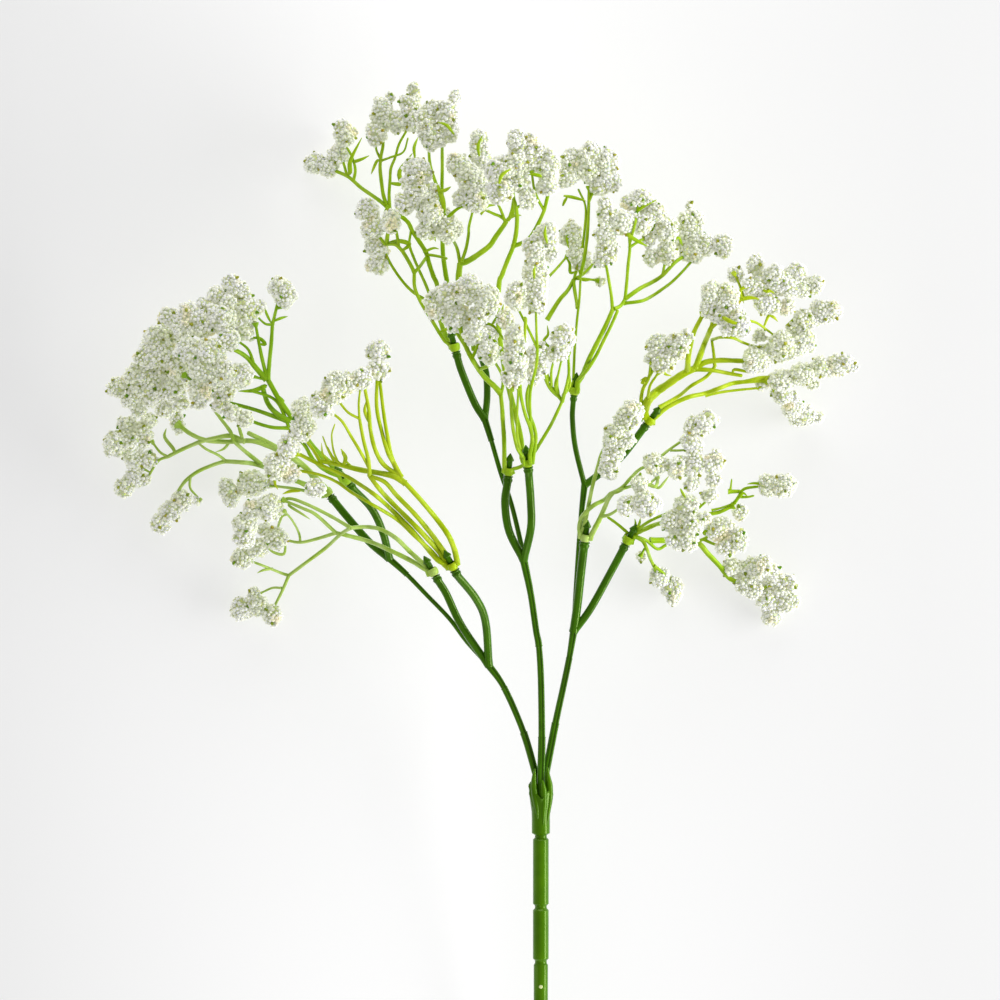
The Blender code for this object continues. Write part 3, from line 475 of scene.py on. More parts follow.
        (0.9, 0.6, (-53.6, 213.5, 19.5), (-50, 214.8, 20), (-46, 216.5, 20), (-44.5, 221, 20)),
        (0.9, 0.7, (-53.6, 214, 19.5), (-55, 217, 20), (-55.3, 219.5, 20)),
    ],
    "middle_4": [
        (2.3, 2.0, (-22.5, 153), (-25.5, 160), (-27.3, 168), (-27.5, 174), (-27, 179)),
        (2.2, 1.5, (-27, 179), (-24, 180), (-20, 182.6), (-17, 185), (-15, 188), (-12.5, 191.5),
         (-11.5, 193)),
        (1.2, 0.8, (-11.5, 193), (-13.5, 194.6), (-16, 195.6), (-19.5, 197.5), (-21, 200)),
        (1.1, 0.7, (-12, 193), (-13.5, 197), (-15.5, 200.5), (-18.5, 203)),
        (1.3, 0.9, (-27, 179), (-28, 184), (-30, 188), (-33, 192.5)),
        (1.2, 0.8, (-26.5, 179.5), (-25, 184), (-24.2, 188.5), (-24, 191.5), (-22.6, 197), (-22, 200)),
        (1.8, 1.1, (-24, 156, 21), (-30, 168, 18), (-32.5, 180, 15.5), (-33, 190, 15), (-33.2, 200, 17),
         (-33, 210, 20), (-33, 218, 27)),
        (1.4, 0.9, (-33, 198, 17), (-34.5, 204, 19), (-37, 212, 23), (-37.5, 219, 28)),
        (1.3, 0.9, (-30, 188), (-33, 191.5), (-37, 195.5), (-40, 201)),
    ],
    "right_1": [
        (1.6, 1.4, (13, 88.8), (12.8, 91), (13.5, 94), (15.5, 96.5), (18, 98.5), (21, 100), (23, 102)),
        (1.3, 1.0, (23, 102), (26, 103), (28, 104), (31.5, 105)),
        (1.3, 1.0, (23, 102), (27, 104.2), (30, 107.5), (33, 110.3), (37, 112)),
        (1.5, 1.2, (14.3, 91), (15.2, 95), (16.2, 100), (17.2, 105), (18.6, 109.5), (21, 112)),
        (1.2, 1.0, (17.2, 105), (18.5, 110), (20.3, 116), (23, 119)),
        (1.9, 1.4, (16.8, 88.3), (18.2, 91), (19.7, 94), (21.2, 97.5), (22.5, 100.5), (24, 102.5)),
        (1.3, 0.9, (20.2, 94.5), (23, 95.2), (26.5, 97.5)),
        (1.1, 0.9, (36, 111.5), (40.5, 110.5), (44.5, 109.5)),
        (1.1, 0.8, (37, 112), (40.5, 115), (43, 117), (48, 120.5), (50.5, 122.5)),
        (0.9, 0.7, (43, 116.5), (46, 116.5), (49.5, 116.8)),
        (1.0, 0.7, (44, 110), (48, 108.3), (51, 108)),
        (1.1, 0.8, (31.5, 105), (34, 104), (38, 107)),
    ],
    "right_2": [
        (1.4, 1.1, (31, 88), (34, 86.3), (35.5, 83.3), (36.6, 80.5), (38.4, 76.8)),
        (1.1, 0.8, (38, 78, 12), (41.5, 75, 8), (43.8, 71.5, 5)),
        (0.9, 0.8, (35.2, 84.6), (34.6, 83.6), (33.9, 82.4)),
        (1.2, 0.9, (28.8, 89.2), (25.5, 92), (22.3, 94.3)),
        (1.3, 1.0, (30.5, 89), (34.5, 90), (37, 91), (41, 92.8), (45, 93.3)),
        (1.2, 0.9, (31.5, 89.5), (35.5, 92.5), (39.5, 94.5), (44, 96), (47, 97.5)),
        (1.2, 1.0, (31.5, 88, 28), (35.5, 86.3, 24), (39, 83.6, 21), (42, 85, 20), (45.8, 86.8, 19)),
        (2.1, 1.5, (36.5, 86.5, 23), (44, 86.5, 20), (52, 86, 17), (56, 82, 14), (60, 77.8, 11.5),
         (63, 74, 9.5), (66.5, 72.2, 9)),
        (1.2, 0.9, (66.5, 72.2, 9), (68.5, 70, 8), (71, 69, 8)),
        (1.1, 0.8, (60, 77.8, 11.5), (62.5, 77, 9.5), (68, 76.5, 9)),
        (1.2, 0.9, (52, 86, 18), (55, 87.2, 20), (58, 89.3, 21.5)),
        (1.1, 0.8, (54.5, 86.8, 20), (59, 85, 21), (64, 85.5, 22)),
        (1.6, 1.2, (32, 89, 29), (38, 91.7, 28.2), (46, 93.5, 27.8), (52, 94.6, 27.4), (58.5, 95.7, 27.5),
         (60.5, 96.3, 28), (63, 97.5, 28)),
        (1.3, 0.9, (63, 97.5, 28), (65, 99.5, 28.5), (66.3, 101.5, 29), (67.5, 103.4, 29),
         (70, 104.2, 29.5), (76, 104.7, 30)),
        (0.9, 0.6, (57, 96.6, 27.6), (60, 97.3, 28), (63.5, 98.6, 28.3)),
        (1.6, 1.2, (62.5, 102.8, 29.3), (66.5, 102.9, 29)),
        (0.9, 0.5, (63.3, 103.3, 29.5), (63.7, 106.8, 30)),
        (1.0, 0.7, (66.2, 101, 29), (69, 101, 29.3), (71, 101.4, 29.5)),
        (1.0, 0.7, (50, 94.5, 28), (54, 98.5, 31), (57, 101, 33)),
    ],
    "right_3": [
        (1.9, 1.5, (12.2, 139), (14, 142), (16, 147), (19, 153), (21.5, 158), (23.8, 163.3)),
        (1.3, 1.1, (11.9, 139.5), (15.5, 143.5), (18.3, 148), (20.8, 153), (23.3, 158), (25.5, 163)),
        (1.2, 0.9, (23.8, 163.3), (23.4, 168), (22.6, 173), (21.6, 178.5)),
        (1.4, 1.1, (24.3, 163.6), (26.5, 164.7), (28, 167)),
        (1.2, 1.0, (28, 167), (28.5, 172), (29, 178), (29.6, 184), (29.3, 189)),
        (1.5, 1.2, (28, 167), (33, 170.5), (37, 172.6), (40.5, 174.9), (45, 179.5), (49, 182)),
        (1.3, 0.9, (27.5, 165.5), (33.5, 166.3), (37, 168), (40, 170), (43.5, 172.6), (47, 176),
         (51, 180.5)),
        (1.0, 0.8, (10.8, 139.5, 38), (11.2, 150, 41), (12, 160, 41), (12.8, 167, 41), (13.2, 175, 41)),
        (1.3, 1.0, (13.2, 175, 41), (14.5, 181, 40.5), (15.4, 188, 40), (15.8, 195, 39), (16, 203, 38.5)),
        (0.9, 0.7, (13.8, 184, 39.5), (14.6, 191, 39), (14.8, 198, 38.5), (12.5, 203.5, 38)),
        (0.9, 0.7, (15.8, 199, 39), (17.5, 202.5, 38.5), (20, 204.5, 38)),
        (1.3, 0.9, (12.2, 164, 41), (11, 172, 35), (11.5, 175.5, 32), (12.3, 178.5, 31)),
        (1.6, 1.2, (2, 160, 39), (6, 166.5, 38), (9, 170, 36), (10.8, 173.5, 34)),
        (1.1, 0.9, (11.5, 174, 34), (14, 175.3, 34), (17, 178.3, 33)),
        (1.0, 0.8, (11.5, 173.8, 34), (14.5, 173.8, 34), (17.8, 173.4, 34)),
        (1.1, 0.8, (0, 172.7, 37), (2.5, 174.5, 36), (5, 177, 34), (8, 180.5, 32)),
        (1.0, 0.8, (11.3, 180, 31), (10.2, 184.5, 30.5)),
        (1.0, 0.8, (29.3, 184), (33, 186.5), (36, 188), (38, 192)),
        (1.0, 0.8, (29.6, 186), (31.3, 192), (32.2, 197)),
        (1.0, 0.8, (40.5, 174.9), (41.3, 179), (42, 183)),
    ],
    "right_4": [
        (3.1, 2.3, (34.5, 129.5), (35.5, 132.8), (38.5, 136), (42, 138.4), (47, 141.8), (51.5, 144)),
        (2.2, 1.7, (51.5, 144), (53, 148), (54.7, 152.5), (56.5, 157)),
        (2.0, 1.4, (48.8, 143), (49, 147), (49.7, 151), (51, 156), (53.5, 161)),
        (2.1, 1.6, (51.5, 144), (55, 146), (60, 146.6), (67, 146.4)),
        (1.6, 1.2, (51.5, 143.6), (57, 143.3), (62, 142.4), (67, 141.5)),
        (1.7, 1.4, (37.6, 127), (41.5, 130.5), (46, 133), (50, 134.6), (55, 135.7), (60, 137.5), (64, 139),
         (68.5, 139.6), (74, 140)),
        (1.1, 0.8, (55, 134.9, 22), (60, 136, 21), (65, 136.7, 20), (72, 137.4, 19)),
        (1.4, 1.1, (39.5, 131), (46, 134.7), (50, 138), (55, 141), (58, 144.5)),
        (1.4, 1.1, (34.2, 129.5), (33.4, 133), (34, 137), (36, 141), (36.6, 145)),
        (1.0, 0.8, (36.3, 141.5), (38, 144), (40.5, 146.5)),
        (1.1, 0.8, (35.5, 133), (36.3, 138), (38.5, 141.5)),
        (1.2, 0.9, (58, 144.5), (57.6, 149), (57, 153.5)),
        (1.1, 0.9, (57.2, 153.5), (60, 154.2), (64, 153.9), (67, 152.7), (70, 151.5), (72, 149.8)),
        (1.0, 0.8, (70, 151.5), (73.5, 151), (77, 152.5)),
        (1.4, 1.0, (68.5, 139.6), (74, 141), (80, 141)),
        (1.0, 0.8, (76, 140.5), (77.5, 137.5), (79, 135)),
        (1.3, 1.0, (56.5, 157), (57.5, 161), (58, 165)),
        (1.3, 1.0, (56.5, 157), (60, 160.5), (64, 165), (67.5, 168), (71, 170)),
        (1.0, 0.8, (67.5, 168), (66.3, 171.5), (64.8, 174.5)),
        (1.3, 0.9, (71, 170), (76, 170.5), (80, 171.5)),
        (1.0, 0.7, (66, 159.7), (71, 159.3), (75, 157), (79, 154)),
        (1.0, 0.7, (82, 158), (86, 161.5), (92, 162.3)),
        (0.9, 0.7, (88, 143), (92, 144.3), (97, 144.6)),
        (0.9, 0.7, (80, 138), (83, 134), (86, 130.3)),
    ],
}

# Pointed bracts and sepals that stand off the twigs: width in the middle, then the places
BRACTS = {
    "left_1": [(1.3, (-86, 82), (-89.5, 82.5), (-92, 84.5)), (1.2, (-90, 77), (-93, 76.5), (-95, 75.5)),
               (1.2, (-86.5, 94.5), (-88, 91), (-88, 89)), (1.2, (-84, 98), (-80, 95.5), (-77, 93.5))],
    "left_2": [(1.7, (-57, 126), (-58.5, 129.5), (-58, 133)), (1.8, (-66, 111), (-65, 114), (-66.5, 117)),
               (1.5, (-80, 103), (-83, 103), (-86, 102)), (1.4, (-88, 108), (-88.5, 105.5), (-87.5, 103.5)),
               (1.2, (-70, 112), (-72.5, 115), (-73, 119))],
    "left_3": [(2.0, (-92, 138), (-96, 136.5), (-101, 136.3)),
               (1.5, (-94.5, 141), (-98, 141.8), (-102, 141)),
               (1.3, (-89.5, 159.5), (-87, 160.6), (-84.5, 161.3)),
               (1.6, (-92, 152), (-94, 154), (-97.5, 154)), (1.2, (-90, 159), (-91.5, 162), (-92.5, 165)),
               (1.4, (-86, 133), (-89, 136), (-89.5, 139))],
    "left_4": [(1.6, (-123, 117), (-126, 121), (-125.5, 124)),
               (1.5, (-100, 121), (-101, 125), (-99.5, 128)),
               (1.3, (-104, 119.8), (-106, 117.3), (-109, 116)),
               (1.5, (-135.5, 112), (-136.5, 115), (-135, 118))],
    "middle_1": [(2.3, (6.8, 133.5), (3.6, 136.8), (1, 140.2)), (2.0, (6, 134), (5, 138), (5.6, 142)),
                 (1.5, (2.5, 140), (1, 144), (0.6, 147.5)), (1.6, (-15, 160), (-13.3, 162), (-12.5, 165)),
                 (1.4, (-30.5, 169), (-28.4, 168), (-27, 165.5)),
                 (1.6, (7.5, 135), (9.4, 138), (9.6, 141.5)),
                 (1.5, (-22, 164), (-20.5, 161.5), (-20.8, 158.5)),
                 (1.3, (1, 152.5), (2.3, 155), (2, 158))],
    "middle_2": [(1.4, (-5.2, 160, 77), (-5.4, 156, 78), (-5.2, 152, 78)),
                 (1.2, (-2.2, 178, 73), (-2.4, 175, 75), (-2.2, 172, 75)),
                 (1.4, (2, 185, 73), (1.2, 188, 74), (1.5, 191, 74)),
                 (1.6, (-14, 205, 58), (-13, 208, 59), (-10, 210, 59)),
                 (1.2, (0, 207.5, 56), (-2, 208.3, 57), (-4.5, 208, 57))],
    "middle_3": [(2.0, (-44, 185.5), (-48, 186.6), (-53.5, 185.2)),
                 (1.8, (-51.5, 186), (-51, 189.5), (-49, 192)),
                 (2.1, (-46.8, 206, 18), (-47.3, 210, 19), (-43, 216, 20)),
                 (2.0, (-64, 210, 9), (-63.8, 214, 9.5), (-60, 221.5, 10)), (1.5, (-62.5, 213.5, 9),
                 (-60, 214.3, 10), (-57.5, 215.5, 10)), (1.6, (-31, 157.5), (-32.5, 159.8), (-33.8, 162)),
                 (1.5, (-36.8, 191.5), (-36, 189), (-35.2, 186.5)),
                 (1.3, (-54.8, 213.5, 20), (-56, 211, 20), (-56.8, 209, 20)),
                 (1.3, (-34.3, 192), (-32.5, 192.5), (-31, 193)),
                 (1.2, (-39, 183), (-36, 184.3), (-34, 184))],
    "middle_4": [(2.3, (-34.5, 205, 37), (-32.8, 200, 38), (-32, 195, 38)),
                 (1.6, (-34, 203, 38), (-32, 203.3, 38), (-30, 204.5, 38)),
                 (1.5, (-31, 194.5, 36), (-28, 197, 37), (-25, 198.3, 37)),
                 (2.2, (-11, 193), (-9.3, 197), (-9, 203)), (1.5, (-10.8, 194), (-8.6, 195), (-6.5, 195)),
                 (1.5, (-20, 195.5), (-18, 198), (-14, 198.6)), (1.5, (-20.5, 214.5, 42), (-21, 218, 42),
                 (-19.5, 221.5, 42)), (1.4, (-29, 222, 37), (-31.5, 225, 38), (-34.5, 226, 38)),
                 (1.4, (-42, 214, 41), (-42.3, 217.5, 40), (-41, 221, 38))],
    "right_1": [(1.5, (38, 104.5), (38.8, 107), (37.6, 109.5)),
                (1.2, (39, 104, 49), (41, 106, 49), (42.5, 108, 49)),
                (1.3, (22.5, 116), (21.6, 118), (22.6, 120.4)),
                (1.3, (44.5, 107), (46, 109.5), (45.5, 112))],
    "right_2": [(1.2, (46.5, 103.8, 36), (47.4, 102, 37), (48.3, 100.4, 38)),
                (1.3, (66.5, 101, 30), (67.6, 102.3, 30), (69, 101.2, 30)),
                (1.2, (31, 90), (31.6, 92), (31.3, 93.8)), (1.2, (31.5, 90), (32.8, 92), (33.2, 94)),
                (1.5, (77, 72), (79, 73), (81, 74.5)), (1.4, (54.5, 89), (56.8, 90.4), (59, 90.3)),
                (1.2, (74, 105.3, 31), (71, 105.6, 31), (68.8, 105.3, 31))],
    "right_3": [(1.5, (7.5, 201.4, 41), (11, 200.8, 41), (15, 199.6, 41)),
                (1.3, (7.2, 198, 40), (8, 199.8, 40), (9, 201.3, 40)),
                (1.8, (29, 188.3, 45), (32, 186.3, 44), (35.5, 184.5, 43)),
                (1.3, (31.8, 195, 43), (32.3, 197.6, 43), (32.3, 200, 43)),
                (1.5, (32.3, 196.5, 43), (35, 198.3, 43), (38.5, 200, 43)),
                (1.5, (12.5, 174, 35), (15, 173.4, 35), (17.8, 173.8, 35)),
                (1.6, (9.4, 189.5, 33), (8.8, 187, 33), (9.2, 184, 33)),
                (1.2, (45.6, 187.5), (46.7, 186), (47.5, 184.4)), (1.4, (9.8, 176), (9.6, 179), (8, 181.5)),
                (1.2, (16.2, 200), (16.8, 202), (16.2, 204.5))],
    "right_4": [(1.5, (71, 171.5, 42), (66.5, 170, 43), (67.6, 165.5, 43)),
                (1.8, (67.5, 167, 43), (70, 167.4, 43), (73, 166.8, 43)),
                (1.3, (75, 169.5, 43), (76.3, 169.6, 43), (78, 168.8, 43)),
                (1.8, (91.5, 145.6), (93, 145), (95.5, 145)),
                (1.4, (96, 143.8), (97.3, 143.3), (99, 143.6)),
                (1.5, (76, 161.5), (77.5, 161), (79, 159.5)),
                (1.3, (85.5, 162.5), (86.7, 162), (88, 162.3)),
                (1.3, (33.6, 139), (35, 140.8), (33, 139.8)),
                (1.8, (61, 160.5, 50), (64, 159, 51), (68, 158.3, 50)),
                (1.4, (64.5, 143.5), (68, 143), (71.5, 142)),
                (1.4, (40.3, 144), (41.3, 142), (43.5, 141.3))],
}

# The flower heads of each CAD node: x, y, half width, half height and lean in degrees
HEADS = {
    "left_1_a": [(-90.3, 61, 2.8, 3.7), (-94.7, 65.6, 2.5, 2.5), (-100.3, 63.5, 3.8, 4),
                 (-96.3, 68.6, 2.2, 2.1)],
    "left_1_b": [(-100.3, 80, 3.1, 2.9), (-95.6, 83, 2.5, 2.5), (-89, 87, 4.2, 4.2), (-93, 90.3, 2.4, 2.3)],
    "left_1_c": [(-99.3, 92, 4.1, 3.8), (-99.2, 87.3, 3.6, 3.4), (-90.5, 97.5, 4.8, 4.6),
                 (-96, 96.5, 3, 3)],
    "left_2_a": [(-54.3, 143.5, 1.8, 3.4), (-54, 149.8, 1.8, 3.4)],
    "left_2_b": [(-68.2, 137.3, 4.2, 5.2), (-72.8, 131.5, 3.3, 5, 40), (-63.6, 138, 2.6, 2.8),
                 (-59.5, 140, 2.4, 2.4)],
    "left_2_c": [(-79.6, 130, 3.7, 4.2), (-79, 123.5, 4.1, 4.3), (-84, 118, 3.8, 4.6),
                 (-88, 111.5, 4.3, 4.6), (-83, 108.5, 3.2, 3.2), (-75, 104, 3.6, 3.5)],
    "left_3_a": [(-129, 154.5, 3.6, 3.4), (-123.5, 155.5, 4.3, 4), (-131.5, 147.5, 4, 3.7),
                 (-126, 149.5, 4.6, 4.3), (-120, 144.5, 4.5, 4.2), (-127, 141.5, 4.2, 3.9),
                 (-135, 141.5, 4.4, 4), (-142, 138, 3.4, 3.6), (-136.5, 134, 3.9, 3.6),
                 (-129.5, 134.5, 3.9, 3.7), (-122.5, 137, 4.2, 3.9), (-126, 130.5, 3.3, 3.2),
                 (-134.5, 130, 2.8, 2.4), (-120, 131.8, 2.8, 2.4)],
    "left_3_b": [(-117.5, 150, 4.4, 4.2), (-110, 149.5, 4.5, 4.3), (-104, 153.5, 3.8, 3.9),
                 (-113, 144, 4.4, 4.1), (-106, 142, 4.4, 4.3), (-100, 141.5, 3.9, 4.2),
                 (-113.5, 136.5, 4.4, 4.2), (-105.5, 135.5, 4, 3.8), (-103, 129, 3.3, 3.2),
                 (-98.5, 127, 2.8, 2.8), (-114, 132.2, 2.8, 2.2), (-107.5, 131, 2.6, 2.2)],
    "left_3_c": [(-103, 172, 3.3, 3.2), (-99, 167.5, 3, 3.1), (-108.5, 168.5, 3.1, 3),
                 (-112, 164.5, 3.9, 3.7), (-117.5, 163, 3.8, 3.5), (-124.5, 161, 3.8, 3.4),
                 (-119, 157.5, 4.3, 4), (-113, 158, 4.3, 4), (-106.5, 160.5, 4.2, 4.1), (-104, 165.5, 3, 3),
                 (-97.5, 161.5, 3.2, 3.3), (-98.5, 156, 3, 3), (-94, 164.5, 2.5, 2.5)],
    "left_3_d": [(-87.4, 171.8, 1.8, 3), (-84.9, 166.6, 1.4, 1.4)],
    "left_4_a": [(-128, 91.8, 2.6, 2.7), (-124.8, 98.3, 1.3, 1.3), (-119.8, 100.5, 2.2, 2.2),
                 (-115, 99.8, 1.5, 1.4)],
    "left_4_b": [(-142.2, 119, 4.6, 4.7), (-138.5, 125.3, 3.6, 2.9), (-133.5, 120, 3.3, 3.3),
                 (-131.5, 113.5, 3.3, 3.2), (-133, 107, 2.4, 2.3), (-139.6, 104.3, 3.5, 3.6),
                 (-122, 127.5, 2.5, 5.2, 15), (-131.5, 126.5, 2.8, 2.8)],
    "left_4_c": [(-97.3, 105.5, 4.7, 4.6), (-104.6, 102.5, 3, 4.9, 20), (-91.5, 106, 2.5, 2.5)],
    "middle_1_a": [(-35.5, 165.3, 3.3, 4.7), (-28, 160, 4.4, 4.2), (-24.5, 170.5, 4.6, 4.4),
                   (-30, 168.5, 4.1, 4.1), (-22, 155.5, 3.6, 3.4), (-17.5, 154.5, 3.2, 3.4),
                   (-16.5, 147.5, 2.9, 3.2), (-17.5, 166.5, 4.5, 4.6), (-20.5, 162, 3.8, 3.6),
                   (-12, 160.5, 3, 3.4)],
    "middle_1_b": [(7.2, 154, 3.8, 4), (6.3, 148.5, 2.4, 2.5)],
    "middle_2_a": [(-9, 140.3, 4.1, 3), (-9, 146.8, 3.7, 4), (-8.8, 153.8, 3.6, 4.3)],
    "middle_2_b": [(-2.4, 142.5, 2.9, 4.1), (-0.8, 149, 2.6, 3.6)],
    "middle_2_c": [(-8.3, 168, 3.4, 4.8), (-1.2, 168, 3.2, 5), (-2, 178.5, 2.3, 6), (-2, 186, 1.9, 3.4),
                   (2.8, 188, 2.9, 4.6), (3.3, 181.5, 2.2, 3.4)],
    "middle_2_d": [(-14, 209.5, 4.9, 5), (-13.5, 201.5, 4, 3.6), (-7.5, 206, 3.6, 4.2),
                   (-7.6, 219.3, 3.5, 4.4), (-3, 218, 2.4, 4.6), (2.8, 212.5, 2.6, 4.8),
                   (2.4, 204.3, 2.2, 3.2), (-4.5, 200, 3, 4), (-7.5, 212.5, 3, 3)],
    "middle_3_a": [(-58, 198, 2.5, 3.9), (-57, 191.5, 2.4, 3), (-54.6, 184, 2.2, 3.3),
                   (-54, 178, 2.1, 3.2)],
    "middle_3_b": [(-50, 193, 2.9, 3.9)],
    "middle_3_c": [(-75, 213.3, 2.4, 2.6), (-70.5, 212, 2.5, 1.9), (-67.5, 216, 2.4, 2.9),
                   (-66.2, 223.2, 3.4, 4.7), (-62.8, 223.3, 2, 2.1)],
    "middle_3_d": [(-53, 230.3, 3.3, 4.1), (-55.3, 221, 2.3, 2.9), (-48.3, 225, 2.5, 2.7),
                   (-43.2, 229, 3.3, 4.7), (-42.3, 236.5, 2.2, 3.6), (-50.5, 235, 1.9, 1.8)],
    "middle_4_a": [(-41.5, 209.5, 4.6, 5), (-41, 202, 4.4, 4.4), (-36, 195.5, 3.6, 3.6),
                   (-38.5, 190, 3.5, 3.2), (-31, 190.5, 4.6, 4.6), (-46, 199, 3.2, 3.4),
                   (-36.5, 202.5, 3, 3.4)],
    "middle_4_b": [(-35.7, 231, 3.2, 3.1), (-30.8, 229, 3.4, 4.5), (-33.5, 221.5, 3.2, 4),
                   (-38.6, 223.5, 3, 3.8), (-28.5, 234.5, 2, 2.6), (-30.2, 222, 2.2, 2.6)],
    "middle_4_c": [(-23.5, 207.5, 4.8, 4.7), (-21.5, 200, 4.4, 3.9), (-28.5, 212.5, 3.3, 3.4),
                   (-20.5, 220, 3.2, 4.3), (-26.5, 200.5, 3, 3), (-18.5, 212, 3, 3.6)],
    "right_1_a": [(29.5, 128, 4.3, 5, -35), (25, 121.5, 4.2, 4.8, -30), (23.3, 113.5, 3.1, 4)],
    "right_1_b": [(37.5, 111.5, 2.6, 3.4), (45.3, 110.5, 2.9, 4), (51.3, 110, 2.5, 3.3),
                  (56.2, 111.5, 2.6, 2.9), (54, 125.5, 4.8, 3.7, 25), (49.5, 120.5, 2.8, 2.6),
                  (42, 112, 2, 2.4), (50, 105, 2.9, 2.4), (57.3, 106.5, 2.8, 2.3), (50.8, 115.5, 2.4, 2.2)],
    "right_1_c": [(35, 98.3, 4.6, 4.5), (28.3, 97.5, 2.7, 3), (32.5, 105.2, 2.8, 2.8)],
    "right_2_a": [(39.3, 74.3, 2.7, 2.9), (44.6, 68.2, 3.1, 3.9), (33.6, 81.2, 1.9, 2)],
    "right_2_b": [(49.5, 97.5, 3.5, 3.4), (49, 90, 3.7, 3.3), (43.8, 92.8, 2.7, 2.6), (43.5, 86.5, 2.6, 2),
                  (56.5, 101.5, 2.9, 2.4), (54.5, 94, 2.6, 2.3)],
    "right_2_c": [(66.5, 86.3, 2.9, 3.7), (62, 84, 2, 1.9), (60, 91, 4.2, 2.3, 20), (67, 95.8, 2.5, 3)],
    "right_2_d": [(74.3, 77.3, 3.8, 3.4), (68.5, 77.5, 2.6, 2.4), (63.8, 77, 2.4, 2.8),
                  (71.3, 70.3, 3.8, 3.2), (76.3, 67.3, 2.4, 2.4), (82.5, 71.6, 3.8, 2.9),
                  (83.7, 66.2, 3.7, 3.3), (76.2, 63.2, 2, 2.6), (78, 60.7, 2.5, 1.6), (77.5, 72, 2.2, 2)],
    "right_2_e": [(81.2, 104.8, 4.1, 2.4), (76, 104.9, 1.8, 1.5)],
    "right_3_a": [(10.3, 213.4, 4.1, 4), (16.2, 214, 4.3, 5.3), (22, 211.8, 4.1, 5.6),
                  (8.2, 207.5, 2.4, 3.5), (19.5, 205, 3.5, 3.6), (24.5, 206, 2.7, 3.4)],
    "right_3_b": [(10.3, 189, 2.7, 4.2), (12, 182.5, 3.5, 3.2), (14, 178, 2.9, 2.5), (19.6, 173, 2.4, 1.6)],
    "right_3_c": [(22, 196, 2.5, 5.5), (21.8, 186.5, 2.5, 5), (19.3, 180, 2.4, 2.9), (27, 193, 3.6, 3.4),
                  (33.3, 193, 2.7, 2.6), (36, 187, 2.5, 2.9), (37, 181, 3.1, 2.9), (38.5, 196, 3.5, 3.3),
                  (42, 189, 3.2, 3.6), (42.3, 182, 2.9, 3.3), (33.5, 200.8, 3.4, 3.2), (29, 199, 2.4, 2.4),
                  (24.2, 183.5, 2, 2.3)],
    "right_3_d": [(50.5, 182.5, 3.9, 2.6), (54.5, 185.3, 2.9, 3.3), (60.5, 184.6, 2.8, 2.4),
                  (50, 189.5, 1.7, 3), (49.8, 196.3, 1.5, 4), (46, 186, 2, 2.2)],
    "right_4_a": [(39, 152, 2.6, 3.3), (41, 145, 3.4, 3.2), (46.8, 152, 2.8, 5, -30), (36, 147.5, 1.7, 2)],
    "right_4_b": [(56.5, 169, 2.8, 4.3), (61.3, 168.5, 2.9, 4), (60, 161.5, 3.4, 3.2), (66, 159, 3.7, 2.9),
                  (55.5, 163, 2.4, 2.6)],
    "right_4_c": [(64.7, 175.3, 2.7, 2.7), (71.5, 178.5, 2.8, 3.2), (78, 175, 3.8, 3.7),
                  (85, 176, 3.8, 3.2), (91.3, 171.8, 3.4, 3.4), (82, 164.3, 2.8, 2.6),
                  (74.8, 166, 3.9, 3.2), (70, 171.3, 3.3, 3), (83.5, 170, 3, 2.7)],
    "right_4_d": [(88.2, 160, 3.9, 3.5), (97, 163.5, 3.9, 3.2), (80.5, 152.5, 4.2, 3.9),
                  (86, 151.5, 3.2, 3.6), (71, 146.3, 4.2, 4.6), (76, 149.5, 2.9, 2.9),
                  (92.3, 160.8, 2.4, 2.2), (84, 157, 2.6, 2.4), (73, 155, 2.5, 2.2)],
    "right_4_e": [(102, 145.7, 3.9, 3.3), (91.5, 138.6, 2.2, 1.5), (88, 142, 3.7, 2.9),
                  (79.5, 139.5, 3.5, 3), (94, 144.5, 2.5, 2.1), (80.5, 134.5, 2.5, 2.5),
                  (84.6, 135, 2.2, 2.2), (84, 131, 2.3, 2.1), (88.3, 128.4, 4, 2.5),
                  (92.8, 127.6, 2.3, 1.9), (74.3, 138.5, 2.5, 1.8)],
}

# A colour mix's inputs and output, by their place on the node
FIRST, SECOND, MIXED = 6, 7, 2

# The inputs of the two geometry node trees, which also say what kind each one is
SWEEP_INPUTS = {"Sides": 12, "Flatness": 1.0, "Groove": 0.0, "Groove Painted Shade": 0.0, "Surface": None}
BEAD_INPUTS = {"Voxel": 1.0, "Bead Diameter": 1.0, "Bead Spacing": 1.0, "Seed": 1, "Bead": None,
               "Core": None, "Sepal": None}


def add(tree, kind, inputs=None, **settings):
    """Add a node with its settings; each input takes a value or another node's output."""
    node = tree.nodes.new(kind)
    for name, value in settings.items():
        setattr(node, name, value)
    for name, value in (inputs or {}).items():
        if isinstance(value, bpy.types.NodeSocket):
            tree.links.new(value, node.inputs[name])
        else:
            node.inputs[name].default_value = value
    return node


def linear(code):
    """An sRGB hex colour as linear red, green, blue and alpha."""
    channels = [int(code[i:i + 2], 16) / 255 for i in (1, 3, 5)]
    return [c / 12.92 if c <= 0.04045 else ((c + 0.055) / 1.055) ** 2.4 for c in channels] + [1.0]


def noise(tree, size, detail, place=None):
    """A noise whose lumps have a size in millimetres."""
    inputs = {"Scale": 1 / (size * MM), "Detail": detail}
    if place is not None:
        inputs["Vector"] = place
    return add(tree, "ShaderNodeTexNoise", inputs).outputs["Fac"]


def ramp(tree, value, low, high, least=0.0, most=1.0):
    """A number that goes from the least to the most as a value goes from low to high."""
    return add(tree, "ShaderNodeMapRange", {
        "Value": value, "From Min": low, "From Max": high, "To Min": least, "To Max": most,
    }).outputs["Result"]


